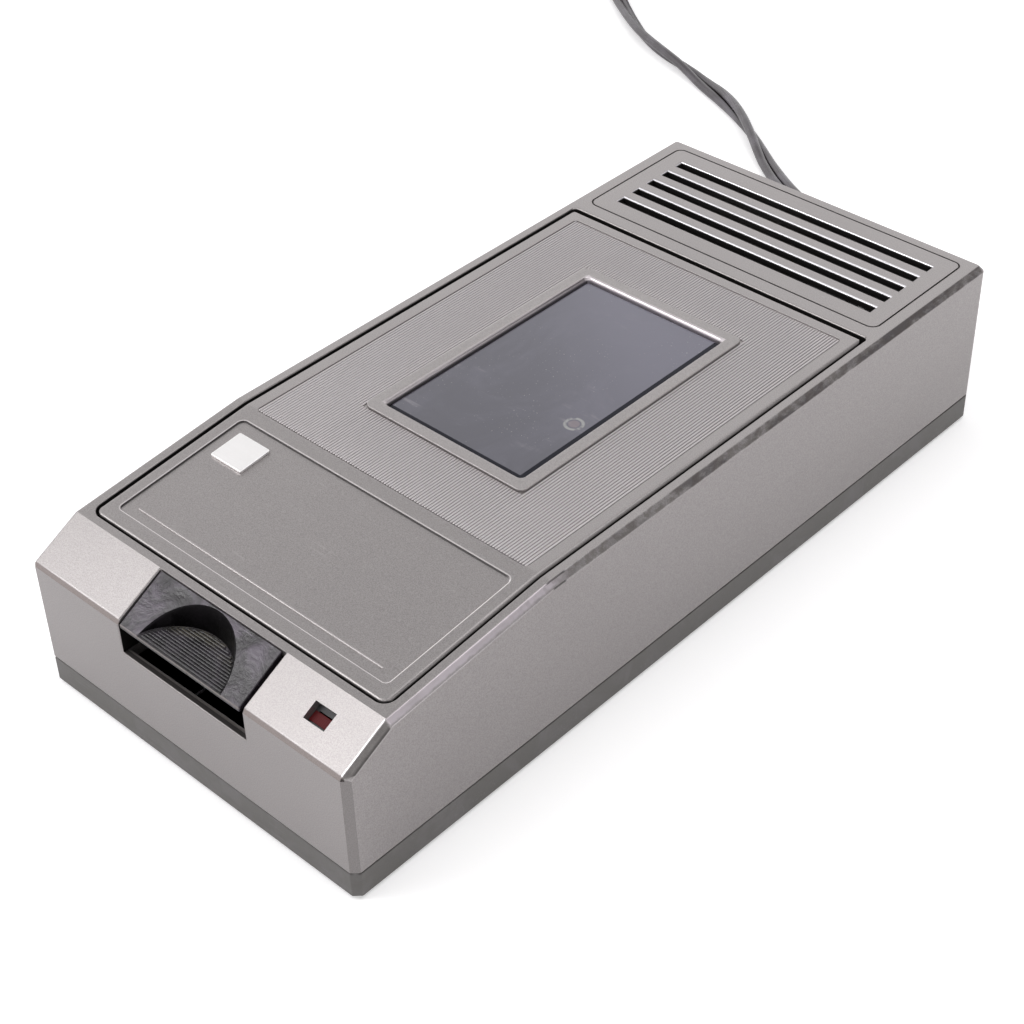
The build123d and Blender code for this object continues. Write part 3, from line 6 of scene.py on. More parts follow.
import logging
import math
from dataclasses import dataclass, field
from enum import Enum
from typing import Any, Callable, Iterable, Sequence, Union

import bmesh
import bpy
import numpy as np
from mathutils import Matrix, Vector


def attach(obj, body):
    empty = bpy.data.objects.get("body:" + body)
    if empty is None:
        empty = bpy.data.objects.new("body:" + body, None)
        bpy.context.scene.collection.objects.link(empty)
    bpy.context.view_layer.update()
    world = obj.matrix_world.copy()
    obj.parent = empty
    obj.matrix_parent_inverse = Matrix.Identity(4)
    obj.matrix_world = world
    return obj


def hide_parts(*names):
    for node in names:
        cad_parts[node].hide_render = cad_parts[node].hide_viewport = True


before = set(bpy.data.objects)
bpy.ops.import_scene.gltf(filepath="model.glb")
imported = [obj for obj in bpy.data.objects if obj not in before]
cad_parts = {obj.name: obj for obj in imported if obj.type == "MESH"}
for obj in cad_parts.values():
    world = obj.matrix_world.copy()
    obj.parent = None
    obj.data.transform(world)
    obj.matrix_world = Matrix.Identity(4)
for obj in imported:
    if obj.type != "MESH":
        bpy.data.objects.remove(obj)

LOG = logging.getLogger("rewinder")
MM = 0.001
LEAD_UV = "run"

Number = Union[int, float]
Span = tuple[float, float]
Place = tuple[float, float, float]
Colour = tuple[float, float, float]
WHITE: Colour = (1.0, 1.0, 1.0)


# ------------------------------------------------------------------ shader expressions
class Sock:
    """A number socket of a material, used in expressions that add Math nodes."""

    def __init__(self, graph: "Graph", socket: bpy.types.NodeSocket) -> None:
        """Wraps one output socket of the graph."""
        self.graph = graph
        self.socket = socket

    def math(self, operation: str, *others: Union["Sock", Number]) -> "Sock":
        """Adds one Math node.

        Args:
            operation: the node's operation.
            others: the values after this one.
        Returns:
            The node's result.
        """
        values = dict(enumerate((self, *others)))
        return self.graph.node("ShaderNodeMath", {"operation": operation}, values)

    def __add__(self, other: Union["Sock", Number]) -> "Sock":
        """Sum of two values."""
        return self.math("ADD", other)

    def __sub__(self, other: Union["Sock", Number]) -> "Sock":
        """Difference of two values."""
        return self.math("SUBTRACT", other)

    def __rsub__(self, other: Number) -> "Sock":
        """Difference with a plain number first."""
        return self.graph.node("ShaderNodeMath", {"operation": "SUBTRACT"}, {0: other, 1: self})

    def __mul__(self, other: Union["Sock", Number]) -> "Sock":
        """Product of two values."""
        return self.math("MULTIPLY", other)

    def __pow__(self, other: Union["Sock", Number]) -> "Sock":
        """Power of a value."""
        return self.math("POWER", other)

    def __abs__(self) -> "Sock":
        """Size of a value without its sign."""
        return self.math("ABSOLUTE")

    __radd__ = __add__
    __rmul__ = __mul__

    def step(self, low: Number, high: Number) -> "Sock":
        """Smooth step: 0 below low, 1 above high.

        Args:
            low: value where the step starts.
            high: value where it ends.
        Returns:
            The stepped value.
        """
        settings = {"interpolation_type": "SMOOTHSTEP"}
        values = {"Value": self, "From Min": low, "From Max": high, "To Min": 0.0, "To Max": 1.0}
        return self.graph.node("ShaderNodeMapRange", settings, values)

    def below(self, limit: Number, edge: Number) -> "Sock":
        """1 up to the limit, 0 from the soft edge's end on."""
        return 1 - self.step(limit, limit + edge)

    def window(self, low: Number, high: Number, edge: Number) -> "Sock":
        """1 between low and high, 0 outside, with soft edges.

        Args:
            low: lower end.
            high: upper end.
            edge: width of each soft edge.
        Returns:
            The mask.
        """
        return self.step(low - edge, low) * self.below(high, edge)


Value = Union[Sock, Number]
Mark = tuple[Sock, Colour]


class Graph:
    """The node tree of one material."""

    def __init__(self, name: str) -> None:
        """Makes an empty material of that name with an output and a Principled shader.

        Args:
            name: the material's name.
        """
        self.material = bpy.data.materials.new(name)
        self.material.use_nodes = True
        self.tree = self.material.node_tree
        self.tree.nodes.clear()
        self.output = self.tree.nodes.new("ShaderNodeOutputMaterial")
        self.shader = self.tree.nodes.new("ShaderNodeBsdfPrincipled")
        self.tree.links.new(self.shader.outputs[0], self.output.inputs["Surface"])

    @classmethod
    def of_tree(cls, tree: bpy.types.NodeTree) -> "Graph":
        """A graph over another tree, such as the world's, emptied first.

        Args:
            tree: the tree.
        Returns:
            The graph.
        """
        made = cls.__new__(cls)
        made.tree = tree
        tree.nodes.clear()
        return made

    def put(self, target: bpy.types.NodeSocket, value: Any) -> None:
        """Links or sets one input socket.

        Args:
            target: the input.
            value: a Sock, a number, a vector or a colour.
        """
        if isinstance(value, Sock):
            self.tree.links.new(value.socket, target)
        elif isinstance(value, (tuple, list)) and target.type == "RGBA":
            target.default_value = (*value[:3], 1.0)
        else:
            target.default_value = value

    def node(
        self,
        kind: str,
        settings: dict[str, Any] | None = None,
        inputs: dict[Union[str, int], Any] | None = None,
        output: Union[str, int] = 0,
    ) -> Sock:
        """Adds one node: its settings first, then the values or links of its sockets.

        Args:
            kind: the node's type.
            settings: its attributes.
            inputs: socket name or index to value.
            output: the output that is returned.
        Returns:
            That output.
        """
        made = self.tree.nodes.new(kind)
        for key, value in (settings or {}).items():
            setattr(made, key, value)
        for key, value in (inputs or {}).items():
            self.put(made.inputs[key], value)
        return Sock(self, made.outputs[output])

    def split(self, vector: Sock) -> tuple[Sock, Sock, Sock]:
        """A vector's X, Y and Z as three values."""
        x = self.node("ShaderNodeSeparateXYZ", {}, {0: vector})
        return tuple(Sock(self, output) for output in x.socket.node.outputs)

    def place(self, scale: Sequence[float] = (1, 1, 1), turn: Sequence[float] = (0, 0, 0)) -> Sock:
        """Object coordinates through a Mapping node.

        Args:
            scale: stretch along each axis.
            turn: rotation in degrees.
        Returns:
            The vector.
        """
        coords = self.node("ShaderNodeTexCoord", output="Object")
        if tuple(scale) == (1, 1, 1) and tuple(turn) == (0, 0, 0):
            return coords
        angles = tuple(math.radians(a) for a in turn)
        values = {"Vector": coords, "Rotation": angles, "Scale": tuple(scale)}
        return self.node("ShaderNodeMapping", {}, values)

    def axes(self) -> tuple[Sock, Sock, Sock]:
        """The object's X, Y and Z as three values."""
        return self.split(self.place())

    def noise(
        self,
        scale: float,
        detail: float = 2.0,
        rough: float = 0.5,
        stretch: Sequence[float] = (1, 1, 1),
        turn: Sequence[float] = (0, 0, 0),
        warp: float = 0.0,
    ) -> Sock:
        """Noise over Object coordinates, around 0.5.

        Args:
            scale: cells in a metre.
            detail: octaves.
            rough: weight of the finer octaves.
            stretch: scale along each axis.
            turn: rotation in degrees.
            warp: distortion.
        Returns:
            The value.
        """
        values = {
            "Vector": self.place(stretch, turn),
            "Scale": scale,
            "Detail": detail,
            "Roughness": rough,
            "Distortion": warp,
        }
        return self.node("ShaderNodeTexNoise", {}, values)

    def ray(self, kind: str) -> Sock:
        """1 for rays of one kind, such as Camera or Glossy."""
        return self.node("ShaderNodeLightPath", output=f"Is {kind} Ray")

    def scratches(self, scale: float, turn: float, share: float) -> Sock:
        """Sparse thin lines, from noise drawn out along one direction.

        Args:
            scale: lines in a metre across.
            turn: their direction in degrees about Z.
            share: how sparse they are, from 0.5 (many) to 0.8 (few).
        Returns:
            A mask, 1 on a line.
        """
        drawn_out = (0.03, 1.0, 1.0)
        fine = self.noise(scale, 1.0, 0.5, drawn_out, (0, 0, turn), 0.4)
        patch = self.noise(60.0, 2.0, 0.6)
        return fine.step(share, share + 0.05) * patch.step(0.5, 0.62)

    def blend(self, factor: Value, first: Any, second: Any) -> Sock:
        """Mixes two colours.

        Args:
            factor: share of the second.
            first: a colour or its socket.
            second: a colour or its socket.
        Returns:
            The mixed colour.
        """
        settings = {"data_type": "RGBA", "blend_type": "MIX", "clamp_factor": True}
        return self.node("ShaderNodeMix", settings, {"Factor": factor, 6: first, 7: second}, 2)

    def over(self, base: Any, *marks: Mark) -> Any:
        """Lays marks over a colour, each one over those before it.

        Args:
            base: a colour or its socket.
            marks: a mask and a colour each.
        Returns:
            The colour's socket, or the base where there are no marks.
        """
        for mask, colour in marks:
            base = self.blend(mask, base, colour)
        return base

    def bump(self, height: Value, depth: float, strength: float = 1.0, over: Sock | None = None) -> Sock:
        """Bump from a height.

        Args:
            height: the height, 0 to 1.
            depth: metres for one unit of height.
            strength: how much of it shows.
            over: a normal that it lies on.
        Returns:
            The normal.
        """
        values: dict[Union[str, int], Any] = {"Height": height, "Distance": depth, "Strength": strength}
        if over is not None:
            values["Normal"] = over
        return self.node("ShaderNodeBump", {}, values)

    def finish(self, **inputs: Any) -> bpy.types.Material:
        """Sets the Principled shader's inputs.

        Args:
            inputs: socket names, with _ for a space.
        Returns:
            The material.
        """
        for key, value in inputs.items():
            self.put(self.shader.inputs[key.replace("_", " ")], value)
        return self.material


# ------------------------------------------------------------------ forms that shapes and finishes share
@dataclass(frozen=True)
class RoundedFrame:
    """A rounded rectangle on the top, even about X = 0.

    Its corners have one radius in the solids (wide) and tighter ones here. The points that move lie
    above the lowest height, no further inside the round than the band and no further outside than the
    slack.
    """

    half: float
    front: float
    rear: float
    wide: float
    tight_front: float
    tight_rear: float
    band: float = 0.12 * MM
    slope: float = 0.0
    slack: float = 0.12 * MM
    off_axis: float = 0.05 * MM
    lowest: float = 50.0 * MM

    def tightened(self, points: np.ndarray) -> np.ndarray:
        """Draws the four corners out to their tighter rounds.

        A point keeps its direction from the old round's middle. The middle moves out by the difference
        of the radii, and the point's distance from it shrinks by as much. On a sloping top it also
        rises with its move along Y.

        Args:
            points: a shell's vertices, (n, 3).
        Returns:
            The moved vertices.
        """
        behind = points[:, 1] > (self.front + self.rear) / 2
        end = np.where(behind, self.rear, self.front)
        small = np.where(behind, self.tight_rear, self.tight_front)
        ahead = np.where(behind, 1.0, -1.0)
        x = np.abs(points[:, 0]) - (self.half - self.wide)
        y = ahead * (points[:, 1] - end) + self.wide
        away = np.hypot(x, y) + 1e-9
        near = (away > self.wide - self.band) & (away < self.wide + self.slack)
        near &= (points[:, 2] > self.lowest) & (x > self.off_axis) & (y > self.off_axis)
        left = (away - self.wide + small) / away
        new_y = end + ahead * (left * y - small)
        moved = points.copy()
        moved[near, 0] = (np.sign(points[:, 0]) * (self.half - small + left * x))[near]
        moved[near, 1] = new_y[near]
        moved[near, 2] += ((new_y - points[:, 1]) * self.slope)[near]
        return moved


@dataclass(frozen=True)
class Scoop:
    """The button's thumb scoop: part of a round wall that leans outwards, lean for each unit of height."""

    x: float = -0.6 * MM
    y: float = -143.25 * MM
    radius: float = 17.15 * MM
    lean: float = 0.2217
    floor: float = 43.7 * MM


# The top's height behind its bend, the bend's Y, and the slope in front of the bend.
TOP = 59.05 * MM
BEND = -63.45 * MM
SLOPE = 0.0999
# The case's front, and the height that the lid's ribs stand on.
FRONT_WALL = -140.0 * MM
FIELD_FLOOR = 58.55 * MM
# How softly a painted mark ends.
CRISP = 0.08 * MM
SOFT = 0.1 * MM
BLURRED = 0.2 * MM
RECESS = RoundedFrame(53.25 * MM, -115.4 * MM, -68.83 * MM, 4.0 * MM, 1.6 * MM, 2.0 * MM, slope=SLOPE)
VENT_GROOVE = RoundedFrame(57.6 * MM, 86.95 * MM, 135.25 * MM, 5.0 * MM, 3.4 * MM, 3.0 * MM, band=0.7 * MM)
SCOOP = Scoop()


# ------------------------------------------------------------------ finishes
class Slot(Enum):
    """Material slots of the record that the pieces made here take their finish from."""

    HOUSING = "housing_paint"
    TRAY = "tray_plastic"
    BUTTON = "button_plastic"
    BADGE = "badge_metal"
    WINDOW = "window_acrylic"
    LENS = "lens_red"
    RUBBER = "rubber"
    JACKET = "cord_jacket"
    PLUG = "plug_plastic"
    TIE = "tie_plastic"


def shade(colour: Colour, by: float, plus: float = 0.0) -> Colour:
    """The colour times a factor, plus a little, with no channel over 1."""
    return tuple(min(1.0, c * by + plus) for c in colour)


class Spot:
    """Where a shaded point lies, as values of one graph."""

    def __init__(self, g: Graph) -> None:
        """Splits the Object coordinates; side is the distance from the middle.

        Args:
            g: the material's graph.
        """
        self.graph = g
        self.x, self.y, self.z = g.axes()
        self.side = abs(self.x)

    def under_top(self) -> Sock:
        """Distance under the top, which is flat behind the bend and slopes down in front of it."""
        return ((self.y - BEND) * SLOPE).math("MINIMUM", 0.0) + TOP - self.z

    def from_axis(self, x: float, y: float) -> Sock:
        """Distance from an upright axis: root of the sum of squares."""
        return ((self.x - x) ** 2.0 + (self.y - y) ** 2.0) ** 0.5


@dataclass(frozen=True)
class MetallicPaint:
    """Warm grey paint with fine metal flake, sprayed on moulded plastic."""

    name: str
    colour: Colour
    metallic: float = 0.8
    roughness: float = 0.38
    grain: float = 3200.0
    contrast: float = 0.16
    dust: Colour = (0.5, 0.48, 0.47)
    flake_depth: float = 0.03 * MM

    def material(self) -> bpy.types.Material:
        """Flake speckle, faint clouds, dust and fine scratches, in colour, gloss and bump.

        Returns:
            The material.
        """
        g = Graph(self.name)
        flake = g.noise(self.grain, 2.0, 0.6)
        cloud = g.noise(22.0, 3.0, 0.55)
        dust = g.noise(900.0, 1.0, 0.4).step(0.70, 0.76) * g.noise(35.0).step(0.45, 0.7)
        lines = g.scratches(1600.0, 24.0, 0.69) + g.scratches(1400.0, -52.0, 0.71)
        base = g.blend(
            flake.step(0.3, 0.7), shade(self.colour, 1 - self.contrast), shade(self.colour, 1 + self.contrast)
        )
        base = g.over(
            base,
            (cloud.step(0.35, 0.7) * 0.12, shade(self.colour, 0.8)),
            (dust * 0.3, self.dust),
            (lines * 0.22, shade(self.colour, 1.5)),
            *self.marks(Spot(g)),
        )
        rough = self.roughness + (flake - 0.5) * 0.2 + (cloud - 0.5) * 0.08 + lines * 0.1
        normal = g.bump(flake, self.flake_depth, 0.5)
        return g.finish(Base_Color=base, Metallic=self.metallic, Roughness=rough, Normal=normal)

    def marks(self, at: Spot) -> list[Mark]:
        """Marks laid over this paint, painted shade and painted highlights among them; none on a plain panel.
        """
        return []


# Unpainted plastic in the shade inside the case and under the lid.
BARE: Colour = (0.05, 0.046, 0.045)


@dataclass(frozen=True)
class HousingPaint(MetallicPaint):
    """The case's paint: none on inner walls, painted shade and painted highlights round the button's notch,
    on the bevel and on the long right corner, and painted highlights on the vent slots' edges.
    """

    bare: Colour = BARE
    # Painted highlight on the vent slots' upper edges.
    vent_highlight: Colour = (0.85, 0.83, 0.87)
    # Painted shade on the notch's floor and walls; painted highlights on the floor's line and on the front
    # lip.
    sill_dark: Colour = (0.13, 0.12, 0.118)
    sill_pale: Colour = (0.4, 0.37, 0.36)
    wall_black: Colour = (0.014, 0.012, 0.011)
    lip_pale: Colour = (0.3, 0.28, 0.275)
    # Painted shade on the front corner posts, the bevel's right edge and the fold at its foot; painted
    # highlight beside that edge.
    post_dark: Colour = (0.09, 0.085, 0.08)
    edge_dark: Colour = (0.12, 0.11, 0.106)
    edge_black: Colour = (0.035, 0.031, 0.03)
    shine_pale: Colour = (0.95, 0.91, 0.93)
    brow_brown: Colour = (0.17, 0.125, 0.11)
    knot_black: Colour = (0.02, 0.018, 0.018)
    # Painted highlight on the right chamfer in front of the bend, dark marks at the bend, painted shade
    # behind it.
    band_pale: Colour = (0.64, 0.58, 0.62)
    bend_dark: Colour = (0.05, 0.046, 0.046)
    patch_dark: Colour = (0.07, 0.06, 0.066)
    rear_shade_brown: Colour = (0.13, 0.11, 0.1)
    vents: tuple[Span, Span] = ((0.0, 50.9 * MM), (93.9 * MM, 128.3 * MM))
    vent_edge: Span = (0.08 * MM, 0.36 * MM)
    vent_drop: float = 0.3 * MM
    bare_under: Span = (0.35 * MM, 0.5 * MM)
    opening: tuple[Span, Span] = ((0.0, 60.0 * MM), (-121.3 * MM, 137.4 * MM))
    notch_half: float = 25.1 * MM
    notch_rear: float = -120.0 * MM
    sill: float = 33.5 * MM
    sill_rear: float = -130.0 * MM
    sill_light: Span = (-138.3 * MM, -137.3 * MM)
    bevel_foot: float = 43.6 * MM
    bevel_rear: float = -123.6 * MM
    brow: Span = (43.6 * MM, 45.1 * MM)
    right_edge: Span = (61.65 * MM, 63.1 * MM)
    edge_outer: Span = (62.4 * MM, 63.0 * MM)
    right_shine: Span = (61.0 * MM, 61.35 * MM)
    knot_from: Span = (60.9 * MM, 61.4 * MM)
    post: float = 201.25 * MM
    post_top: float = 45.5 * MM
    chamfer: float = 61.49 * MM
    chamfer_drop: float = 1.7 * MM
    band_end: float = -66.0 * MM
    band_fade: float = 11.0 * MM
    band_foot: Span = (1.4 * MM, 2.0 * MM)
    patch_from: Span = (-75.0 * MM, 20.0 * MM)
    rear_shade_from: Span = (-100.0 * MM, -30.0 * MM)
    bend_upper: tuple[Span, Span] = ((61.4 * MM, 61.75 * MM), (-64.5 * MM, -58.5 * MM))
    bend_lower: tuple[Span, Span] = ((63.0 * MM, 63.4 * MM), (-63.5 * MM, -59.5 * MM))

    def marks(self, at: Spot) -> list[Mark]:
        """Every mark on the case, in the order in which they lie over each other.

        Args:
            at: the point.
        Returns:
            The marks.
        """
        under = at.under_top()
        sill = self._sill(at)
        return [
            *self._openings(at, under),
            *self._notch(at, sill),
            *self._bevel(at, sill),
            *self._long_corner(at, under),
        ]

    def _openings(self, at: Spot, under: Sock) -> list[Mark]:
        """Painted highlights on the upper edges of the vent slots, and bare plastic below the paint's edge.

        Args:
            at: the point.
            under: its distance under the top.
        Returns:
            The marks.
        """
        vent = at.side.window(*self.vents[0], 0.3 * MM) * at.y.window(*self.vents[1], BLURRED)
        inner = (under - vent * self.vent_drop).step(*self.bare_under)
        inner = inner * at.side.window(*self.opening[0], BLURRED) * at.y.window(*self.opening[1], SOFT)
        # Painted highlight: a pale band just under the top on the slots' edges.
        bright = vent * under.window(*self.vent_edge, CRISP)
        return [(bright, self.vent_highlight), (inner, self.bare)]

    def _sill(self, at: Spot) -> Sock:
        """Mask of the notch's floor.

        Args:
            at: the point.
        Returns:
            The mask.
        """
        sill = at.z.window(self.sill - 2.0 * MM, self.sill + 0.2 * MM, SOFT)
        sill = sill * at.y.window(FRONT_WALL + 0.25 * MM, self.sill_rear, SOFT)
        return sill * at.side.window(0.0, self.notch_half - 0.1 * MM, SOFT)

    def _notch(self, at: Spot, sill: Sock) -> list[Mark]:
        """Painted shade on the notch's floor with a painted highlight line, painted shade on its walls, and a
        painted highlight on its front lip.

        Args:
            at: the point.
            sill: mask of the floor.
        Returns:
            The marks.
        """
        wall = at.side.window(self.notch_half - 0.2 * MM, self.notch_half + 0.12 * MM, 0.06 * MM)
        wall = wall * at.z.window(self.sill, self.bevel_foot, 0.3 * MM)
        wall = wall * at.y.window(FRONT_WALL + 0.5 * MM, self.notch_rear, BLURRED)
        lip = at.z.window(self.sill - 0.35 * MM, self.sill + 0.1 * MM, 0.06 * MM)
        lip = lip * at.y.below(FRONT_WALL + 0.4 * MM, 0.15 * MM)
        lip = lip * at.side.window(0.0, self.notch_half, SOFT)
        # Painted shade on the floor and walls; painted highlights on the floor's line and the front lip.
        return [
            (sill * 0.96, self.sill_dark),
            (sill * at.y.window(*self.sill_light, SOFT) * 0.8, self.sill_pale),
            (wall * 0.96, self.wall_black),
            (lip * 0.7, self.lip_pale),
        ]

    def _bevel(self, at: Spot, sill: Sock) -> list[Mark]:
        """Painted shade on the front corner posts and on the bevel's right edge, a painted highlight beside
        that edge, and painted shade along the fold at the bevel's foot.

        Args:
            at: the point.
            sill: mask of the notch's floor.
        Returns:
            The marks.
        """
        post = (at.side - at.y).step(self.post - 0.1 * MM, self.post + 0.1 * MM)
        post = post * at.z.below(self.post_top, 1.5 * MM)
        above = at.z.step(self.bevel_foot + 0.6 * MM, self.bevel_foot + 1.0 * MM)
        edge = at.x.window(*self.right_edge, CRISP) * above
        edge = edge * at.y.below(self.bevel_rear - 0.6 * MM, 0.6 * MM)
        shine = at.x.window(*self.right_shine, CRISP) * above
        shine = shine * at.y.below(self.bevel_rear - 0.4 * MM, 0.4 * MM)
        brow = at.z.window(*self.brow, CRISP) * at.y.below(FRONT_WALL + 0.7 * MM, 0.15 * MM) * (1 - sill)
        knot = at.x.step(*self.knot_from) * brow * at.graph.noise(900.0, 3.0).step(0.3, 0.55)
        # Painted shade on the posts, the right edge and the fold with its dark knots; painted highlight on
        # the shine line.
        return [
            (post * 0.75, self.post_dark),
            (edge * (at.graph.noise(600.0, 3.0) * 0.6 + 0.35), self.edge_dark),
            (edge * at.x.step(*self.edge_outer) * 0.6, self.edge_black),
            (shine * 0.7, self.shine_pale),
            (brow * 0.5, self.brow_brown),
            (knot * 0.9, self.knot_black),
        ]

    def _long_corner(self, at: Spot, under: Sock) -> list[Mark]:
        """The right-hand chamfer: a painted highlight band in front, dark marks at the bend, and patchy
        painted shade behind it.

        Args:
            at: the point.
            under: its distance under the top.
        Returns:
            The marks.
        """
        g = at.graph
        corner = (at.x - under).step(self.chamfer - 0.25 * MM, self.chamfer)
        corner = corner * under.below(self.chamfer_drop, 0.3 * MM)
        patch = g.noise(130.0, 5.0, 0.7, (1.0, 0.35, 1.0)).step(0.36, 0.56)
        ragged = (under + g.noise(500.0, 3.0) * 0.8 * MM).step(*self.band_foot)
        pale = at.y.below(self.band_end, self.band_fade) * (0.75 + patch * 0.25) * (1 - ragged * 0.8)
        bend_mark = at.x.window(*self.bend_upper[0], CRISP) * at.y.window(*self.bend_upper[1], 1.2 * MM)
        bend_mark = bend_mark * at.z.step(57.0 * MM, 57.5 * MM)
        low = at.x.window(*self.bend_lower[0], CRISP) * under.window(1.6 * MM, 2.0 * MM, CRISP)
        bend_mark = bend_mark.math("MAXIMUM", low * at.y.window(*self.bend_lower[1], 0.8 * MM))
        rear_shade = g.noise(420.0, 3.0).step(0.42, 0.6) * at.y.step(*self.rear_shade_from)
        # Painted highlight in front of the bend; dark marks at the bend; painted shade behind the bend.
        return [
            (corner * pale, self.band_pale),
            (bend_mark * 0.8, self.bend_dark),
            (corner * patch * at.y.step(*self.patch_from) * 0.75, self.patch_dark),
            (corner * rear_shade * 0.45, self.rear_shade_brown),
        ]


@dataclass(frozen=True)
class LidPaint(MetallicPaint):
    """The lid's paint: painted shade on the recess's lee side, and painted highlights on the steps where the
    light falls on them.
    """

    bare: Colour = BARE
    # Painted highlight on the window frame's inner edges; painted shade and highlights along the recess.
    bezel_bright: Colour = (0.85, 0.78, 0.82)
    lee_shade: Colour = (0.03, 0.027, 0.027)
    lee_rim: Colour = (0.85, 0.8, 0.81)
    line_bright: Colour = (0.95, 0.9, 0.91)
    bezel_rear: tuple[Span, Span] = ((0.0, 27.3 * MM), (51.6 * MM, 53.0 * MM))
    bezel_left: tuple[Span, Span] = ((-27.9 * MM, -26.8 * MM), (-37.2 * MM, 52.6 * MM))
    bare_under: Span = (0.7 * MM, 0.9 * MM)
    line: float = 0.1 * MM
    line_soft: float = 0.14 * MM
    right_end: Span = (52.5 * MM, 52.8 * MM)

    def marks(self, at: Spot) -> list[Mark]:
        """Bare underside, painted highlights on the window frame's inner edges, and painted lines of shade
        and highlight along the recess.

        Args:
            at: the point.
        Returns:
            The marks.
        """
        # Painted highlight on the window frame's rear and left inner edges.
        inner = at.y.window(*self.bezel_rear[1], 0.15 * MM) * at.side.window(*self.bezel_rear[0], BLURRED)
        left = at.x.window(*self.bezel_left[0], 0.12 * MM) * at.y.window(*self.bezel_left[1], BLURRED)
        inner = inner.math("MAXIMUM", left * 0.45)
        return [
            (at.under_top().step(*self.bare_under), self.bare),
            (inner * 0.55, self.bezel_bright),
            *self._recess_lines(at),
        ]

    def _recess_lines(self, at: Spot) -> list[Mark]:
        """Lines along the recess, from the distance to its rounded outline.

        The distance is the root of the squares of how far a point lies past the corner's middle in X and
        in Y, plus the larger of the two where both are inside, less the radius. The lee side, to the rear
        and left, gets a painted shade line with a painted highlight rim; the rest gets a painted highlight
        line.

        Args:
            at: the point.
        Returns:
            The marks.
        """
        middle, half = (RECESS.front + RECESS.rear) / 2, (RECESS.rear - RECESS.front) / 2
        radius = at.y.step(middle - 1.0 * MM, middle + 1.0 * MM) * (RECESS.tight_rear - RECESS.tight_front)
        radius = radius + RECESS.tight_front
        across = at.side - RECESS.half + radius
        along = abs(at.y - middle) - half + radius
        out = (across.math("MAXIMUM", 0.0) ** 2.0 + along.math("MAXIMUM", 0.0) ** 2.0) ** 0.5
        away = out + across.math("MAXIMUM", along).math("MINIMUM", 0.0) - radius
        lee = ((at.y - middle) * (1 / half) - at.x * (1 / RECESS.half)).step(-0.05, 0.05)
        # Painted shade on the lee side with a painted highlight rim; painted highlight on the other sides.
        dark = (away + self.line).window(-self.line, 0.14 * MM, 0.12 * MM)
        rim = (away - 0.32 * MM).window(-self.line, self.line, self.line_soft)
        bright = (away - 0.05 * MM).window(-0.16 * MM, 0.2 * MM, self.line_soft)
        right = at.x.step(*self.right_end)
        return [
            (dark * lee * 0.9, self.lee_shade),
            (rim * lee * 0.5, self.lee_rim),
            (bright * (1 - lee) * (0.55 + right * 0.4), self.line_bright),
        ]


@dataclass(frozen=True)
class RibPaint(MetallicPaint):
    """The ribbed field's paint: painted highlight on the crests, painted shade between the ribs."""

    crest: Colour = (0.56, 0.526, 0.536)
    valley: Colour = (0.25, 0.228, 0.233)

    def marks(self, at: Spot) -> list[Mark]:
        """Brightness follows the height over the field's floor: painted shade low, painted highlight high."""
        height = (at.z - FIELD_FLOOR).step(0.12 * MM, 0.4 * MM)
        return [((1 - height) * 0.4, self.valley), (height * 0.6, self.crest)]


@dataclass(frozen=True)
class MouldedPlastic:
    """Injection moulded plastic with spark-eroded texture, scuffs and faint marbling."""

    name: str
    colour: Colour
    roughness: float = 0.48
    scuff: float = 0.3
    marble: float = 0.15
    tint: Colour = (0.35, 0.33, 0.36)
    swirl: float = 75.0
    wave: float = 0.0
    grain: float = 1500.0
    depth: float = 0.05 * MM

    def material(self) -> bpy.types.Material:
        """Texture in bump and gloss; marbling and pale scuffs in colour.

        Returns:
            The material.
        """
        g = Graph(self.name)
        grain = g.noise(self.grain, 3.0, 0.6)
        marble = g.noise(self.swirl, 5.0, 0.62, warp=0.6)
        lines = g.scratches(1500.0, 15.0, 0.66) + g.scratches(1300.0, -38.0, 0.68)
        lines = lines + g.scratches(1200.0, 80.0, 0.7)
        at = Spot(g)
        dead = self.shadow(at)
        base = g.over(
            self.colour,
            (marble.step(0.42, 0.68) * self.marble, self.tint),
            (grain.step(0.45, 0.75) * 0.18, shade(self.colour, 1.5, 0.01)),
            (lines * self.scuff, self.tint),
            *self.marks(at),
        )
        rough = self.roughness + (marble - 0.5) * 0.3 + (grain - 0.5) * 0.15
        waves = g.bump(marble * (1 - dead), self.wave) if self.wave else None
        normal = g.bump(grain, self.depth, 0.6, waves)
        return g.finish(Base_Color=base, Metallic=dead, Roughness=rough, Normal=normal)

    def marks(self, at: Spot) -> list[Mark]:
        """Marks that follow the piece's form; none on a plain piece."""
        return []

    def shadow(self, at: Spot) -> Value:
        """How metallic the piece is; with a black colour this takes its shine away. None on a plain piece."""
        return 0.0


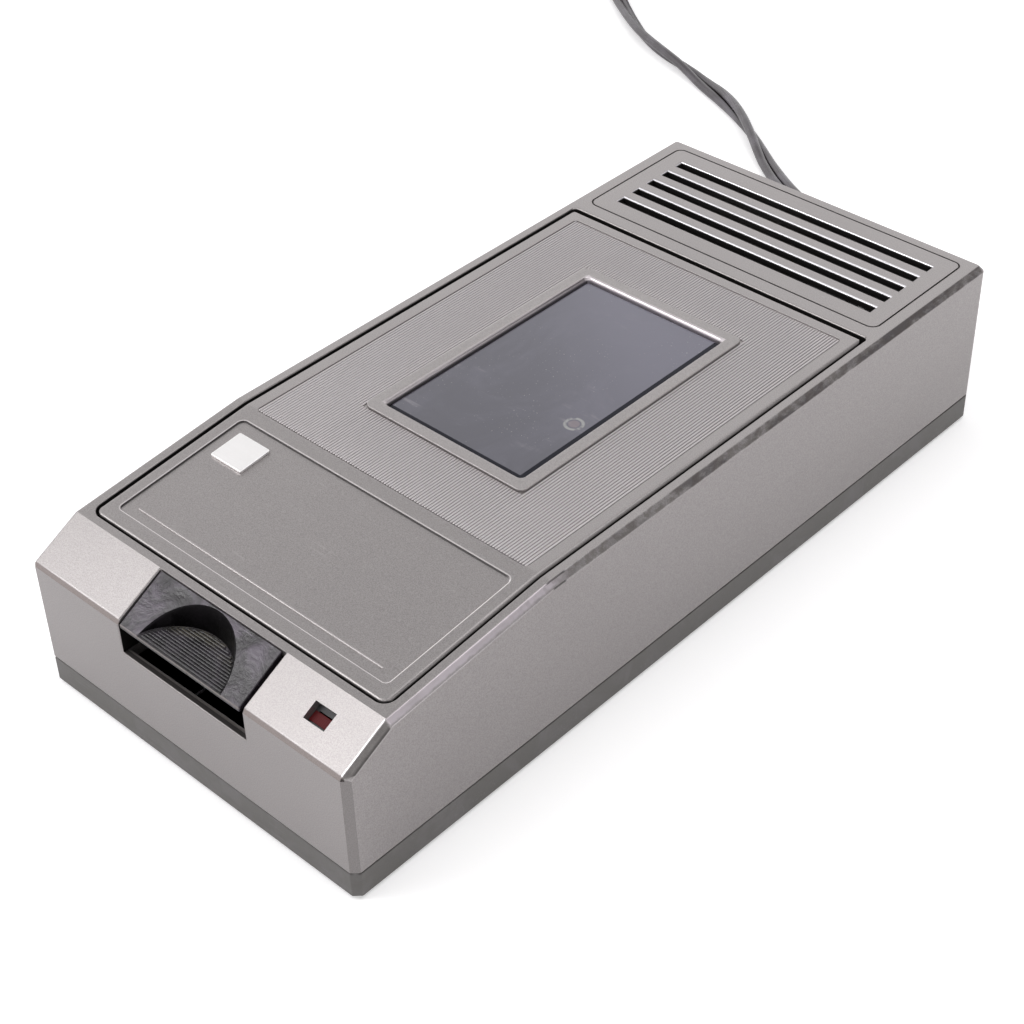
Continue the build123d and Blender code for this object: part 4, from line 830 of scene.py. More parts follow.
@dataclass(frozen=True)
class ButtonPlastic(MouldedPlastic):
    """Button plastic with painted shade on the wall and floor of its thumb scoop, a painted highlight on its
    front lip, and dust on the scoop's rear ribs.
    """

    # Painted shade on the scoop's wall (black) and floor (grip); painted highlight on the front lip.
    black: Colour = (0.004, 0.0035, 0.004)
    grip: Colour = (0.009, 0.0085, 0.008)
    lip: Colour = (0.3, 0.26, 0.24)
    dust: Colour = (0.2, 0.18, 0.13)
    rib_top: float = SCOOP.floor + 0.45 * MM
    wall_skin: float = 0.12 * MM
    lip_from: Span = (43.3 * MM, 43.5 * MM)
    dust_band: Span = (-2.6 * MM, -0.2 * MM)
    dust_from: Span = (-134.0 * MM, -129.0 * MM)

    def wall(self, at: Spot) -> Sock:
        """The scoop's wall: where the distance to its axis is under its radius at that height.

        Args:
            at: the point.
        Returns:
            The mask.
        """
        reach = (at.z - SCOOP.floor) * SCOOP.lean + (SCOOP.radius + self.wall_skin)
        reach = reach - at.from_axis(SCOOP.x, SCOOP.y)
        inside = reach.step(0.0, CRISP) * at.z.step(self.rib_top, self.rib_top + 0.25 * MM)
        return inside * at.y.step(FRONT_WALL + 0.6 * MM, FRONT_WALL + 0.8 * MM)

    def shadow(self, at: Spot) -> Value:
        """The wall's black painted shade turns metallic, so that nothing shines there."""
        return self.wall(at) * 0.93

    def marks(self, at: Spot) -> list[Mark]:
        """Painted shade on the scoop's floor and wall, a painted highlight on the front lip, and dust at its
        rear.

        Args:
            at: the point.
        Returns:
            The marks.
        """
        away, inside = at.from_axis(SCOOP.x, SCOOP.y), self.wall(at)
        dusty = (away - SCOOP.radius).window(*self.dust_band, 1.6 * MM)
        dusty = dusty * at.z.step(SCOOP.floor + 0.2 * MM, SCOOP.floor + 0.4 * MM) * (1 - inside)
        dusty = dusty * at.y.step(*self.dust_from) * at.graph.noise(260.0, 3.0).step(0.35, 0.6)
        grip = (SCOOP.radius + 0.2 * MM - away).step(0.0, SOFT) * at.z.below(self.rib_top, 0.15 * MM)
        lip = at.y.below(FRONT_WALL + 0.4 * MM, BLURRED) * at.z.step(*self.lip_from)
        return [
            # Painted shade on the floor and wall, painted highlight on the lip.
            (grip * 0.65, self.grip),
            (lip * 0.6, self.lip),
            (dusty * 0.35, self.dust),
            (inside * 0.96, self.black),
        ]


class Draw(Enum):
    """Direction in which a metal was drawn or brushed."""

    X = (0.02, 1.0, 1.0)
    Z = (1.0, 1.0, 0.02)
    PLATED = (1.0, 1.0, 1.0)


@dataclass(frozen=True)
class Metal:
    """Bare or plated metal with the lines of its making."""

    name: str
    colour: Colour
    roughness: float = 0.3
    draw: Draw = Draw.PLATED
    scale: float = 2600.0
    stain: float = 0.2
    depth: float = 0.03 * MM

    def material(self) -> bpy.types.Material:
        """Fine lines in bump and gloss; cloudy tarnish in colour.

        Returns:
            The material.
        """
        g = Graph(self.name)
        line = g.noise(self.scale, 2.0, 0.6, self.draw.value)
        cloud = g.noise(160.0, 4.0, 0.6)
        base = g.over(
            self.colour,
            (cloud.step(0.4, 0.75) * self.stain, shade(self.colour, 0.5)),
            (line.step(0.5, 0.8) * 0.25, shade(self.colour, 1.25)),
        )
        rough = self.roughness + (line - 0.5) * 0.25 + (cloud - 0.5) * 0.2
        return g.finish(Base_Color=base, Metallic=1.0, Roughness=rough, Normal=g.bump(line, self.depth, 0.5))


@dataclass(frozen=True)
class Turned:
    """Plastic turned about an upright axis, with concentric tool marks."""

    name: str
    colour: Colour
    centre: tuple[float, float]
    roughness: float
    pitch: float = 16000.0
    depth: float = 0.03 * MM

    def material(self) -> bpy.types.Material:
        """Rings from the distance to the axis, as height = sin(distance times pitch).

        Returns:
            The material.
        """
        g = Graph(self.name)
        away = Spot(g).from_axis(*self.centre)
        rings = (away * self.pitch + g.noise(300.0) * 2.0).math("SINE") * 0.5 + 0.5
        stain = g.noise(250.0, 3.0).step(0.4, 0.75)
        base = g.over(self.colour, (stain * 0.3, shade(self.colour, 0.6)))
        rough = self.roughness + rings * 0.12
        return g.finish(Base_Color=base, Roughness=rough, Normal=g.bump(rings, self.depth, 0.5))


@dataclass(frozen=True)
class Layered:
    """Stacked or wound layers, one above the other: laminations, tape turns or printed bands."""

    name: str
    colour: Colour
    gap: Colour
    pitch: float
    metallic: float = 0.0
    roughness: float = 0.4
    depth: float = 0.1 * MM

    def material(self) -> bpy.types.Material:
        """Bands along Z, as height = sin(place over pitch), with darker gaps.

        Returns:
            The material.
        """
        g = Graph(self.name)
        turns = Spot(g).z * (2 * math.pi / self.pitch)
        wave = (turns + g.noise(200.0) * 1.4).math("SINE") * 0.5 + 0.5
        stain = g.noise(180.0, 4.0, 0.6)
        base = g.over(
            self.gap,
            (wave.step(0.15, 0.6), self.colour),
            (stain.step(0.5, 0.8) * 0.3, shade(self.colour, 0.55)),
        )
        rough = self.roughness + (stain - 0.5) * 0.25
        normal = g.bump(wave, self.depth, 0.6)
        return g.finish(Base_Color=base, Metallic=self.metallic, Roughness=rough, Normal=normal)


@dataclass(frozen=True)
class Fibrous:
    """Rubber bloom or felt: a matt surface with pores or short fibres."""

    name: str
    colour: Colour
    roughness: float
    scale: float
    depth: float
    sheen: float = 0.0
    bloom: Colour = (0.3, 0.3, 0.29)

    def material(self) -> bpy.types.Material:
        """Fibres from stretched noise in two directions, in colour and bump.

        Returns:
            The material.
        """
        g = Graph(self.name)
        fibre = g.noise(self.scale, 3.0, 0.7, (0.3, 1.0, 1.0), (0, 0, 35)) * 0.5
        fibre = fibre + g.noise(self.scale, 3.0, 0.7, (1.0, 0.3, 1.0), (0, 0, 12)) * 0.5
        bloom = g.noise(120.0, 4.0, 0.6).step(0.5, 0.75)
        base = g.over(
            shade(self.colour, 0.6),
            (fibre.step(0.35, 0.7), shade(self.colour, 1.5)),
            (bloom * 0.2, self.bloom),
        )
        rough = self.roughness + (fibre - 0.5) * 0.2
        normal = g.bump(fibre, self.depth, 0.7)
        return g.finish(Base_Color=base, Roughness=rough, Sheen_Weight=self.sheen, Normal=normal)


@dataclass(frozen=True)
class SmokedAcrylic:
    """Smoke-tinted glossy window: part clear, part haze, with smudges, painted light and shade across it, a
    painted pale ring where the lit spindle shows through, and painted shade along its rim.
    """

    name: str
    colour: Colour
    haze: float = 0.7
    refraction: float = 1.2
    ring: tuple[float, float] = (19.9 * MM, -7.2 * MM)
    ring_core: float = 1.4 * MM
    ring_band: Span = (2.5 * MM, 2.9 * MM)
    rim_x: float = 24.5 * MM
    rim_y: float = -34.9 * MM
    # Painted shade along the pane's right and front edges.
    rim_shade: Colour = (0.006, 0.007, 0.016)
    streak_pale: Colour = (0.32, 0.3, 0.34)
    dust: Colour = (0.5, 0.5, 0.5)
    # Painted light: the lit spindle seen through the pane, as a pale core and a broken ring.
    core_pale: Colour = (0.36, 0.27, 0.28)
    ring_pale: Colour = (0.5, 0.5, 0.48)
    # Painted shade to the front left and painted light to the rear right.
    near_end: float = -40.0 * MM
    near_fade: float = 40.0 * MM
    far_from: Span = (-10.0 * MM, 50.0 * MM)
    soft: float = 0.12 * MM
    skin: float = 0.02 * MM

    def material(self) -> bpy.types.Material:
        """Smudges and dust change the colour and gloss, and painted light and shade lie over the tint; the
        tint is the shader's own.

        Returns:
            The material.
        """
        g = Graph(self.name)
        at = Spot(g)
        smudge = g.noise(45.0, 5.0, 0.62, (1.0, 0.6, 1.0), warp=0.8)
        wipe = g.noise(700.0, 2.0, 0.5, (0.05, 1.0, 1.0), (0, 0, 62)).step(0.55, 0.8)
        # Painted shade along the right and front edges, with no coat there.
        rim = at.x.step(self.rim_x - self.soft, self.rim_x + self.soft)
        rim = rim.math("MAXIMUM", at.y.below(self.rim_y - self.soft, 2 * self.soft))
        base = g.over(self.tone(at, smudge), *self.marks(at, smudge), (rim * 0.96, self.rim_shade))
        rough = 0.05 + smudge.step(0.45, 0.75) * 0.09 + wipe * 0.03
        return g.finish(
            Base_Color=base,
            Roughness=rough,
            Transmission_Weight=1.0 - self.haze,
            IOR=self.refraction,
            Coat_Weight=(1 - rim) * 0.9,
            Coat_Roughness=0.08,
            Normal=g.bump(smudge, self.skin, 0.2),
        )

    def tone(self, at: Spot, smudge: Sock) -> Sock:
        """The tint, cloudy with smudges, with painted shade to the front left and painted light to the rear
        right.

        Args:
            at: the point.
            smudge: the clouds.
        Returns:
            The colour.
        """
        # Painted shade to the front left, painted light to the rear right.
        near = (at.x * 0.3 + at.y).below(self.near_end, self.near_fade)
        far = (at.x * 0.7 + at.y).step(*self.far_from)
        return at.graph.over(
            shade(self.colour, 0.88),
            (smudge.step(0.4, 0.65) * 0.6, shade(self.colour, 1.3)),
            (near * 0.35, shade(self.colour, 0.6)),
            (far * 0.8, shade(self.colour, 1.75)),
        )

    def marks(self, at: Spot, smudge: Sock) -> list[Mark]:
        """Wiped streaks, dust, and a painted broken pale ring round a pale core, where the lit spindle shows
        through.

        Args:
            at: the point.
            smudge: the clouds that the streaks and the ring follow.
        Returns:
            The marks.
        """
        g = at.graph
        dust = g.noise(1500.0, 1.0, 0.4).step(0.70, 0.76) * g.noise(60.0).step(0.45, 0.62)
        streak = g.noise(260.0, 3.0, 0.6, (0.2, 1.0, 1.0), (0, 0, -38)).step(0.56, 0.78)
        streak = streak * smudge.step(0.45, 0.65)
        away = at.from_axis(*self.ring) + (smudge - 0.5) * 0.6 * MM
        broken = g.noise(330.0).step(0.32, 0.5) * 0.7
        return [
            (streak * 0.7, self.streak_pale),
            (dust * 0.5, self.dust),
            # Painted light: the lit spindle's pale core and broken ring, seen through the pane.
            (away.below(self.ring_core, 0.6 * MM) * 0.45, self.core_pale),
            (away.window(*self.ring_band, 0.5 * MM) * broken, self.ring_pale),
        ]


@dataclass(frozen=True)
class TintedLens:
    """Small diffusing lens of coloured plastic, unlit."""

    name: str
    colour: Colour
    pitch: float = 0.6 * MM
    depth: float = 0.05 * MM

    def material(self) -> bpy.types.Material:
        """Fine upright prisms inside the colour, as sin(X over pitch), with a slightly uneven skin.

        Returns:
            The material.
        """
        g = Graph(self.name)
        prism = (Spot(g).x * (2 * math.pi / self.pitch)).math("SINE") * 0.5 + 0.5
        spot = g.noise(900.0)
        base = g.over(
            self.colour,
            (prism * 0.4, shade(self.colour, 0.45)),
            (spot.step(0.55, 0.8) * 0.3, shade(self.colour, 1.8)),
        )
        rough = 0.5 + (spot - 0.5) * 0.2
        normal = g.bump(prism, self.depth, 0.4)
        return g.finish(Base_Color=base, Roughness=rough, Specular_IOR_Level=0.2, Normal=normal)


@dataclass(frozen=True)
class Jacket:
    """Cable jacket: slightly glossy vinyl, with painted shade in its groove and drawn lines along it."""

    name: str
    colour: Colour
    roughness: float = 0.28
    bloom: Colour = (0.27, 0.25, 0.29)
    # Painted shade in the groove between the two strands.
    groove_shade: Colour = (0.012, 0.01, 0.011)
    lines: Place = (26.0, 30.0, 1.0)
    depth: float = 0.05 * MM

    def material(self) -> bpy.types.Material:
        """Reads the lead's own UV map: U round the section, V along it in metres.

        Returns:
            The material.
        """
        g = Graph(self.name)
        uv = g.node("ShaderNodeUVMap", {"uv_map": LEAD_UV})
        run = g.node("ShaderNodeMapping", {}, {"Vector": uv, "Scale": self.lines})
        drawn = g.node("ShaderNodeTexNoise", {}, {"Vector": run, "Scale": 1.0, "Detail": 2.0})
        mottle = g.noise(220.0, 4.0, 0.6)
        sheen = g.noise(70.0)
        # Painted shade in the crease where the strands meet.
        groove = abs((g.split(uv)[0] * 2.0).math("FRACT") - 0.5).step(0.37, 0.45)
        base = g.over(
            self.colour,
            (mottle.step(0.4, 0.75) * 0.35, shade(self.colour, 0.62)),
            (sheen.step(0.45, 0.7) * 0.3, self.bloom),
            (groove * 0.8, self.groove_shade),
        )
        rough = self.roughness + (drawn - 0.5) * 0.2 + (mottle - 0.5) * 0.15
        normal = g.bump(drawn + mottle * 0.5, self.depth, 0.5)
        return g.finish(Base_Color=base, Roughness=rough, Normal=normal)


# The marbling's pale purple patches are partly flow marks and partly painted sheen.
BUTTON_PLASTIC = ButtonPlastic(
    "button_plastic",
    (0.016, 0.0125, 0.016),
    0.33,
    scuff=0.34,
    marble=0.5,
    tint=(0.2, 0.165, 0.215),
    swirl=95.0,
    wave=0.9 * MM,
)
SILVER = (0.345, 0.323, 0.322)
DRIVE_AXIS = (-7.5 * MM, 22.0 * MM)
FREE_AXIS = (-7.5 * MM, -69.5 * MM)
FINISHES = (
    HousingPaint("housing_paint", SILVER),
    LidPaint("lid_paint", SILVER),
    MetallicPaint("rule_paint", (0.42, 0.393, 0.393)),
    RibPaint("rib_paint", (0.42, 0.392, 0.398), roughness=0.4),
    MouldedPlastic("tray_plastic", (0.122, 0.116, 0.11), 0.5, scuff=0.15),
    BUTTON_PLASTIC,
    Metal("badge_metal", (0.93, 0.91, 0.91), 0.42, Draw.X, stain=0.06),
    SmokedAcrylic("window_acrylic", (0.11, 0.105, 0.142)),
    TintedLens("lens_red", (0.11, 0.007, 0.009)),
    MouldedPlastic("black_plastic", (0.018, 0.018, 0.02), 0.45, scuff=0.1, marble=0.05),
    Fibrous("rest_felt", (0.05, 0.05, 0.055), 0.95, 1800.0, 0.3 * MM, sheen=0.6),
    Fibrous("rubber", (0.03, 0.03, 0.032), 0.75, 2600.0, 0.08 * MM),
    Metal("steel", (0.55, 0.55, 0.56)),
    Metal("screw_steel", (0.52, 0.51, 0.47), 0.28),
    Layered("core_steel", (0.22, 0.21, 0.21), (0.07, 0.065, 0.06), 0.5 * MM, metallic=0.8, roughness=0.45),
    Metal("motor_steel", (0.5, 0.5, 0.5), 0.32, Draw.Z, 1600.0),
    Layered("winding_tape", (0.6, 0.44, 0.07), (0.42, 0.3, 0.05), 6.0 * MM, roughness=0.25),
    Metal("brass", (0.72, 0.52, 0.24), 0.25),
    Turned("spindle_plastic", (0.72, 0.71, 0.67), DRIVE_AXIS, 0.4),
    Turned("wheel_plastic", (0.6, 0.6, 0.57), FREE_AXIS, 0.42),
    Layered("board_laminate", (0.33, 0.2, 0.08), (0.26, 0.155, 0.06), 0.4 * MM),
    Layered("component_coating", (0.13, 0.13, 0.15), (0.35, 0.33, 0.28), 3.5 * MM, roughness=0.3),
    MouldedPlastic("catch_plastic", (0.1, 0.1, 0.1), 0.45, scuff=0.1),
    Jacket("cord_jacket", (0.092, 0.083, 0.09)),
    MouldedPlastic("plug_plastic", (0.12, 0.112, 0.11), 0.42, scuff=0.15),
    Metal("blade_metal", (0.66, 0.6, 0.46), 0.25, Draw.X),
    Fibrous("tie_plastic", (0.05, 0.05, 0.05), 0.8, 1500.0, 0.4 * MM, sheen=0.3),
)


class Finishes:
    """All finishes by name, each made once."""

    def __init__(self) -> None:
        """Lists the finishes; a material is made when it is first asked for."""
        self.kinds = {kind.name: kind for kind in FINISHES}
        self.made: dict[str, bpy.types.Material] = {}

    def __getitem__(self, name: str) -> bpy.types.Material:
        """The material of that finish.

        Args:
            name: the finish's name.
        Returns:
            The material.
        """
        if name not in self.made:
            self.made[name] = self.kinds[name].material()
        return self.made[name]


# ------------------------------------------------------------------ surfaces
# Vertices closer than this are one, and faces that meet at less than this angle in degrees are too.
MERGE = 0.002 * MM
FLAT_ANGLE = 0.6
# Edges sharper than this in degrees get a round of so many steps, where a zone gives it a width.
SHARP_ANGLE = 28.0
ROUND_STEPS = 3
# Faces with less area over perimeter and with fewer corners than these are shaded smooth.
NARROW = 0.55 * MM
MANY_CORNERS = 7
# Points over a rib's crest, and how far into its end each of its sections lies, as a share of half its width.
BEAD_STEPS = 7
BEAD_END = (0.02, 0.35, 0.75, 1.0)
RING_STEPS = 48
# Past every piece, for zones that are open on a side.
FAR = 1.0


def mesh_object(
    name: str, points: np.ndarray, faces: list[np.ndarray], smooth: bool = True
) -> bpy.types.Object:
    """A mesh from whole arrays.

    Args:
        name: the piece's name.
        points: vertices, (n, 3).
        faces: arrays of vertex indices, one array for each number of corners.
        smooth: whether the faces are shaded smooth.
    Returns:
        The object, at the origin.
    """
    loops = np.concatenate([f.ravel() for f in faces]).astype(np.int32)
    counts = np.concatenate([np.full(len(f), f.shape[1]) for f in faces]).astype(np.int32)
    starts = np.concatenate([[0], np.cumsum(counts)[:-1]]).astype(np.int32)
    mesh = bpy.data.meshes.new(name)
    mesh.vertices.add(len(points))
    mesh.vertices.foreach_set("co", points.astype(np.float32).ravel())
    mesh.loops.add(len(loops))
    mesh.loops.foreach_set("vertex_index", loops)
    mesh.polygons.add(len(counts))
    mesh.polygons.foreach_set("loop_start", starts)
    mesh.polygons.foreach_set("use_smooth", np.full(len(counts), smooth))
    mesh.update(calc_edges=True)
    made = bpy.data.objects.new(name, mesh)
    bpy.context.scene.collection.objects.link(made)
    return made


def read_each(items: Any, key: str, kind: type, each: int = 1) -> np.ndarray:
    """One property of every vertex, edge, loop or face.

    Args:
        items: the mesh's collection.
        key: the property.
        kind: the array's number type.
        each: values in each item.
    Returns:
        The values in one row.
    """
    values = np.empty(len(items) * each, kind)
    items.foreach_get(key, values)
    return values


def vertex_places(mesh: bpy.types.Mesh) -> np.ndarray:
    """A mesh's vertices, (n, 3)."""
    return read_each(mesh.vertices, "co", np.float32, 3).reshape(-1, 3).astype(float)


def edge_ends(mesh: bpy.types.Mesh) -> np.ndarray:
    """Both end points of each edge, (n, 2, 3)."""
    return vertex_places(mesh)[read_each(mesh.edges, "vertices", np.int32, 2).reshape(-1, 2)]


def sleeve_faces(rings: int, around: int) -> np.ndarray:
    """Quads between rings of points: ring i's point j joins ring i + 1's point j + 1.

    Args:
        rings: number of rings.
        around: points in each closed ring.
    Returns:
        The quads.
    """
    i, j = np.meshgrid(np.arange(rings - 1), np.arange(around), indexing="ij")
    here, after = i * around + j, i * around + (j + 1) % around
    return np.stack([here, after, after + around, here + around], -1).reshape(-1, 4)


def end_faces(rings: int, around: int) -> np.ndarray:
    """The first and the last ring as faces, the first one turned round."""
    return np.stack([np.arange(around)[::-1], np.arange(around) + (rings - 1) * around])


def closed_sleeve(name: str, rings: np.ndarray) -> bpy.types.Object:
    """A tube through closed rings, with a flat face at each end.

    Args:
        name: the piece's name.
        rings: points, (rings, around, 3).
    Returns:
        The object.
    """
    size = rings.shape[:2]
    return outward(mesh_object(name, rings.reshape(-1, 3), [sleeve_faces(*size), end_faces(*size)]))


def outward(made: bpy.types.Object) -> bpy.types.Object:
    """The same object with its faces pointing outwards.

    Args:
        made: the object.
    Returns:
        The object.
    """
    work = bmesh.new()
    work.from_mesh(made.data)
    bmesh.ops.recalc_face_normals(work, faces=work.faces)
    work.to_mesh(made.data)
    work.free()
    return made


def revolve(name: str, profile: np.ndarray, origin: Sequence[float]) -> bpy.types.Object:
    """A solid of revolution: each profile point (along, radius) goes round an axis along Y.

    Args:
        name: the piece's name.
        profile: (along, radius) pairs, in metres.
        origin: where along is 0.
    Returns:
        The object.
    """
    angle = np.linspace(0, 2 * np.pi, RING_STEPS, endpoint=False)
    along, radius = profile[:, :1], profile[:, 1:]
    x, z = radius * np.cos(angle), radius * np.sin(angle)
    y = np.repeat(along, RING_STEPS, 1)
    return closed_sleeve(name, np.stack([x, y, z], -1) + np.asarray(origin))


def beads(
    name: str,
    starts: np.ndarray,
    ends: np.ndarray,
    width: float,
    height: float,
    sink: float,
    power: float = 1.0,
) -> bpy.types.Object:
    """Round-topped ribs with rounded ends, each one a closed shape of a few dozen faces.

    A section is the upper half of a superellipse, cosine and sine raised to a power below one, over a
    sunk flat foot. Along a rib the section shrinks towards both ends as the square root of one less the
    square of how far it is into the end.

    Args:
        name: the piece's name.
        starts: first end of each rib's foot, (n, 3).
        ends: other end, (n, 3).
        width: width of the foot.
        height: height of the crest.
        sink: how far the foot is sunk.
        power: 1 for a half ellipse, less for a flatter crest.
    Returns:
        The object.
    """
    angle = np.linspace(0, np.pi, BEAD_STEPS)
    cosine, sine = np.cos(angle), np.sin(angle)
    across = np.concatenate([np.sign(cosine) * np.abs(cosine) ** power, [-1.0, 1.0]]) * width / 2
    up = np.concatenate([np.abs(sine) ** power * height, [-sink, -sink]])
    into = np.array(BEAD_END)
    shrink = np.sqrt(1 - (1 - into) ** 2)
    lead = into * width / 2
    run = ends - starts
    long = np.linalg.norm(run, axis=1, keepdims=True)
    run = run / long
    side = np.stack([run[:, 1], -run[:, 0], np.zeros(len(run))], -1)
    place = np.concatenate([np.repeat(lead[None], len(run), 0), long - lead[::-1]], 1)
    scale = np.concatenate([shrink, shrink[::-1]])
    points = (
        starts[:, None, None]
        + run[:, None, None] * place[:, :, None, None]
        + side[:, None, None] * (across * scale[:, None])[None, :, :, None]
    )
    rise = np.where(up > 0, up * scale[:, None], up)
    points[..., 2] += rise[None]
    count, around = len(scale), len(across)
    shift = (np.arange(len(run)) * count * around)[:, None, None]
    quads = (sleeve_faces(count, around) + shift).reshape(-1, 4)
    caps = (end_faces(count, around) + shift).reshape(-1, around)
    return outward(mesh_object(name, points.reshape(-1, 3), [quads, caps]))


@dataclass(frozen=True)
class Zone:
    """Box whose sharp edges get a round of one width; X counts from the middle to both sides."""

    width: float
    x: Span = (0.0, FAR)
    y: Span = (-FAR, FAR)
    z: Span = (-FAR, FAR)

    def holds(self, points: np.ndarray) -> np.ndarray:
        """Which points lie in the box.

        Args:
            points: places, (n, 3).
        Returns:
            True for each point in the box.
        """
        low = np.array([self.x[0], self.y[0], self.z[0]])
        high = np.array([self.x[1], self.y[1], self.z[1]])
        folded = np.concatenate([np.abs(points[:, :1]), points[:, 1:]], 1)
        return np.all((folded >= low) & (folded <= high), axis=1)


def soft_edged(
    name: str,
    node: str,
    zones: Sequence[Zone],
    reshape: Callable[[np.ndarray], np.ndarray] | None = None,
) -> bpy.types.Object:
    """A merged copy of a CAD node with small rounds on its sharp edges.

    Args:
        name: the piece's name.
        node: the CAD node.
        zones: where edges are rounded and how much; a later zone goes before an earlier one.
        reshape: moves the merged copy's vertices first.
    Returns:
        The object, which replaces the node.
    """
    work = bmesh.new()
    work.from_mesh(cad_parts[node].data)
    bmesh.ops.remove_doubles(work, verts=work.verts, dist=MERGE)
    bmesh.ops.dissolve_limit(work, angle_limit=math.radians(FLAT_ANGLE), verts=work.verts, edges=work.edges)
    sharp = np.array([e.calc_face_angle(0.0) for e in work.edges]) > math.radians(SHARP_ANGLE)
    mesh = bpy.data.meshes.new(name)
    work.to_mesh(mesh)
    work.free()
    if reshape is not None:
        mesh.vertices.foreach_set("co", reshape(vertex_places(mesh)).astype(np.float32).ravel())
        mesh.update()
    ends = edge_ends(mesh)
    widths = np.zeros(len(sharp))
    for zone in zones:
        widths[zone.holds(ends[:, 0]) & zone.holds(ends[:, 1]) & sharp] = zone.width
    weights = mesh.attributes.new("bevel_weight_edge", "FLOAT", "EDGE")
    weights.data.foreach_set("value", (widths / widths.max()).astype(np.float32))
    made = bpy.data.objects.new(name, mesh)
    bpy.context.scene.collection.objects.link(made)
    round_off = made.modifiers.new("rounds", "BEVEL")
    round_off.width = float(widths.max())
    round_off.segments = ROUND_STEPS
    round_off.limit_method = "WEIGHT"
    round_off.use_clamp_overlap = False
    bpy.context.view_layer.update()
    graph = bpy.context.evaluated_depsgraph_get()
    made.data = bpy.data.meshes.new_from_object(made.evaluated_get(graph))
    made.modifiers.clear()
    flat_shaded(made.data)
    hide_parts(node)
    return made


def flat_shaded(mesh: bpy.types.Mesh) -> None:
    """Smooth shading for narrow faces, flat for wide ones (by area over perimeter) and many-cornered ones.

    Args:
        mesh: the mesh; its sharp edges stay sharp.
    """
    area = read_each(mesh.polygons, "area", float)
    corners = read_each(mesh.polygons, "loop_total", np.int32)
    first = read_each(mesh.polygons, "loop_start", np.int32)
    pairs = edge_ends(mesh)
    length = np.linalg.norm(pairs[:, 0] - pairs[:, 1], axis=1)
    perimeter = np.add.reduceat(length[read_each(mesh.loops, "edge_index", np.int32)], first)
    mesh.set_sharp_from_angle(angle=math.radians(SHARP_ANGLE))
    mesh.polygons.foreach_set("use_smooth", (area / perimeter < NARROW) & (corners < MANY_CORNERS))


def settle(made: bpy.types.Object, body: str, material: bpy.types.Material) -> bpy.types.Object:
    """Dresses a piece and lets it ride.

    Args:
        made: the piece.
        body: the CAD body that it moves with.
        material: its material.
    Returns:
        The piece.
    """
    made.data.materials.clear()
    made.data.materials.append(material)
    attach(made, body)
    LOG.info("%s: %d faces, rides on %s", made.name, len(made.data.polygons), body)
    return made


# ------------------------------------------------------------------ camera and studio
@dataclass
class Camera:
    """The photograph's viewpoint: a turn about the object, a tilt, a small roll and a distance."""

    azimuth: float = 43.9813
    elevation: float = 38.9644
    roll: float = -1.7076
    distance: float = 0.6257259
    slide: float = -0.0088383
    lift: float = -0.0122022
    focal: float = 72.52
    sensor: float = 36.0
    seen_depth: Span = (0.01, 20.0)
    target: Place = (0.0, 0.0, 0.0262)

    def build(self) -> bpy.types.Object:
        """Places the camera: view direction from azimuth and elevation, axes turned by the roll.

        Returns:
            The camera.
        """
        a, e, r = (math.radians(v) for v in (self.azimuth, self.elevation, self.roll))
        look = Vector((-math.sin(a) * math.cos(e), math.cos(a) * math.cos(e), -math.sin(e)))
        right = Vector((math.cos(a), math.sin(a), 0.0))
        up = right.cross(look)
        side = math.cos(r) * right + math.sin(r) * up
        top = -math.sin(r) * right + math.cos(r) * up
        eye = Vector(self.target) - look * self.distance + self.slide * side + self.lift * top
        data = bpy.data.cameras.new("camera")
        data.lens, data.sensor_width, data.sensor_fit = self.focal, self.sensor, "HORIZONTAL"
        data.clip_start, data.clip_end = self.seen_depth
        made = bpy.data.objects.new("camera", data)
        bpy.context.scene.collection.objects.link(made)
        made.matrix_world = Matrix(
            [(side[k], top[k], -look[k], eye[k]) for k in range(3)] + [(0.0, 0.0, 0.0, 1.0)]
        )
        bpy.context.scene.camera = made
        return made


@dataclass
class Softbox:
    """A rectangular lamp that looks at a point."""

    name: str
    place: Place
    size: tuple[float, float]
    power: float
    aim: Place = (0.0, 0.0, 0.04)
    colour: Colour = WHITE

    def build(self) -> bpy.types.Object:
        """Makes the lamp, turned so that its back faces away from the point.

        Returns:
            The lamp.
        """
        data = bpy.data.lights.new(self.name, "AREA")
        data.shape, data.size, data.size_y = "RECTANGLE", *self.size
        data.energy, data.color = self.power, self.colour
        made = bpy.data.objects.new(self.name, data)
        bpy.context.scene.collection.objects.link(made)
        made.location = self.place
        made.rotation_euler = (Vector(self.aim) - Vector(self.place)).to_track_quat("-Z", "Y").to_euler()
        return made


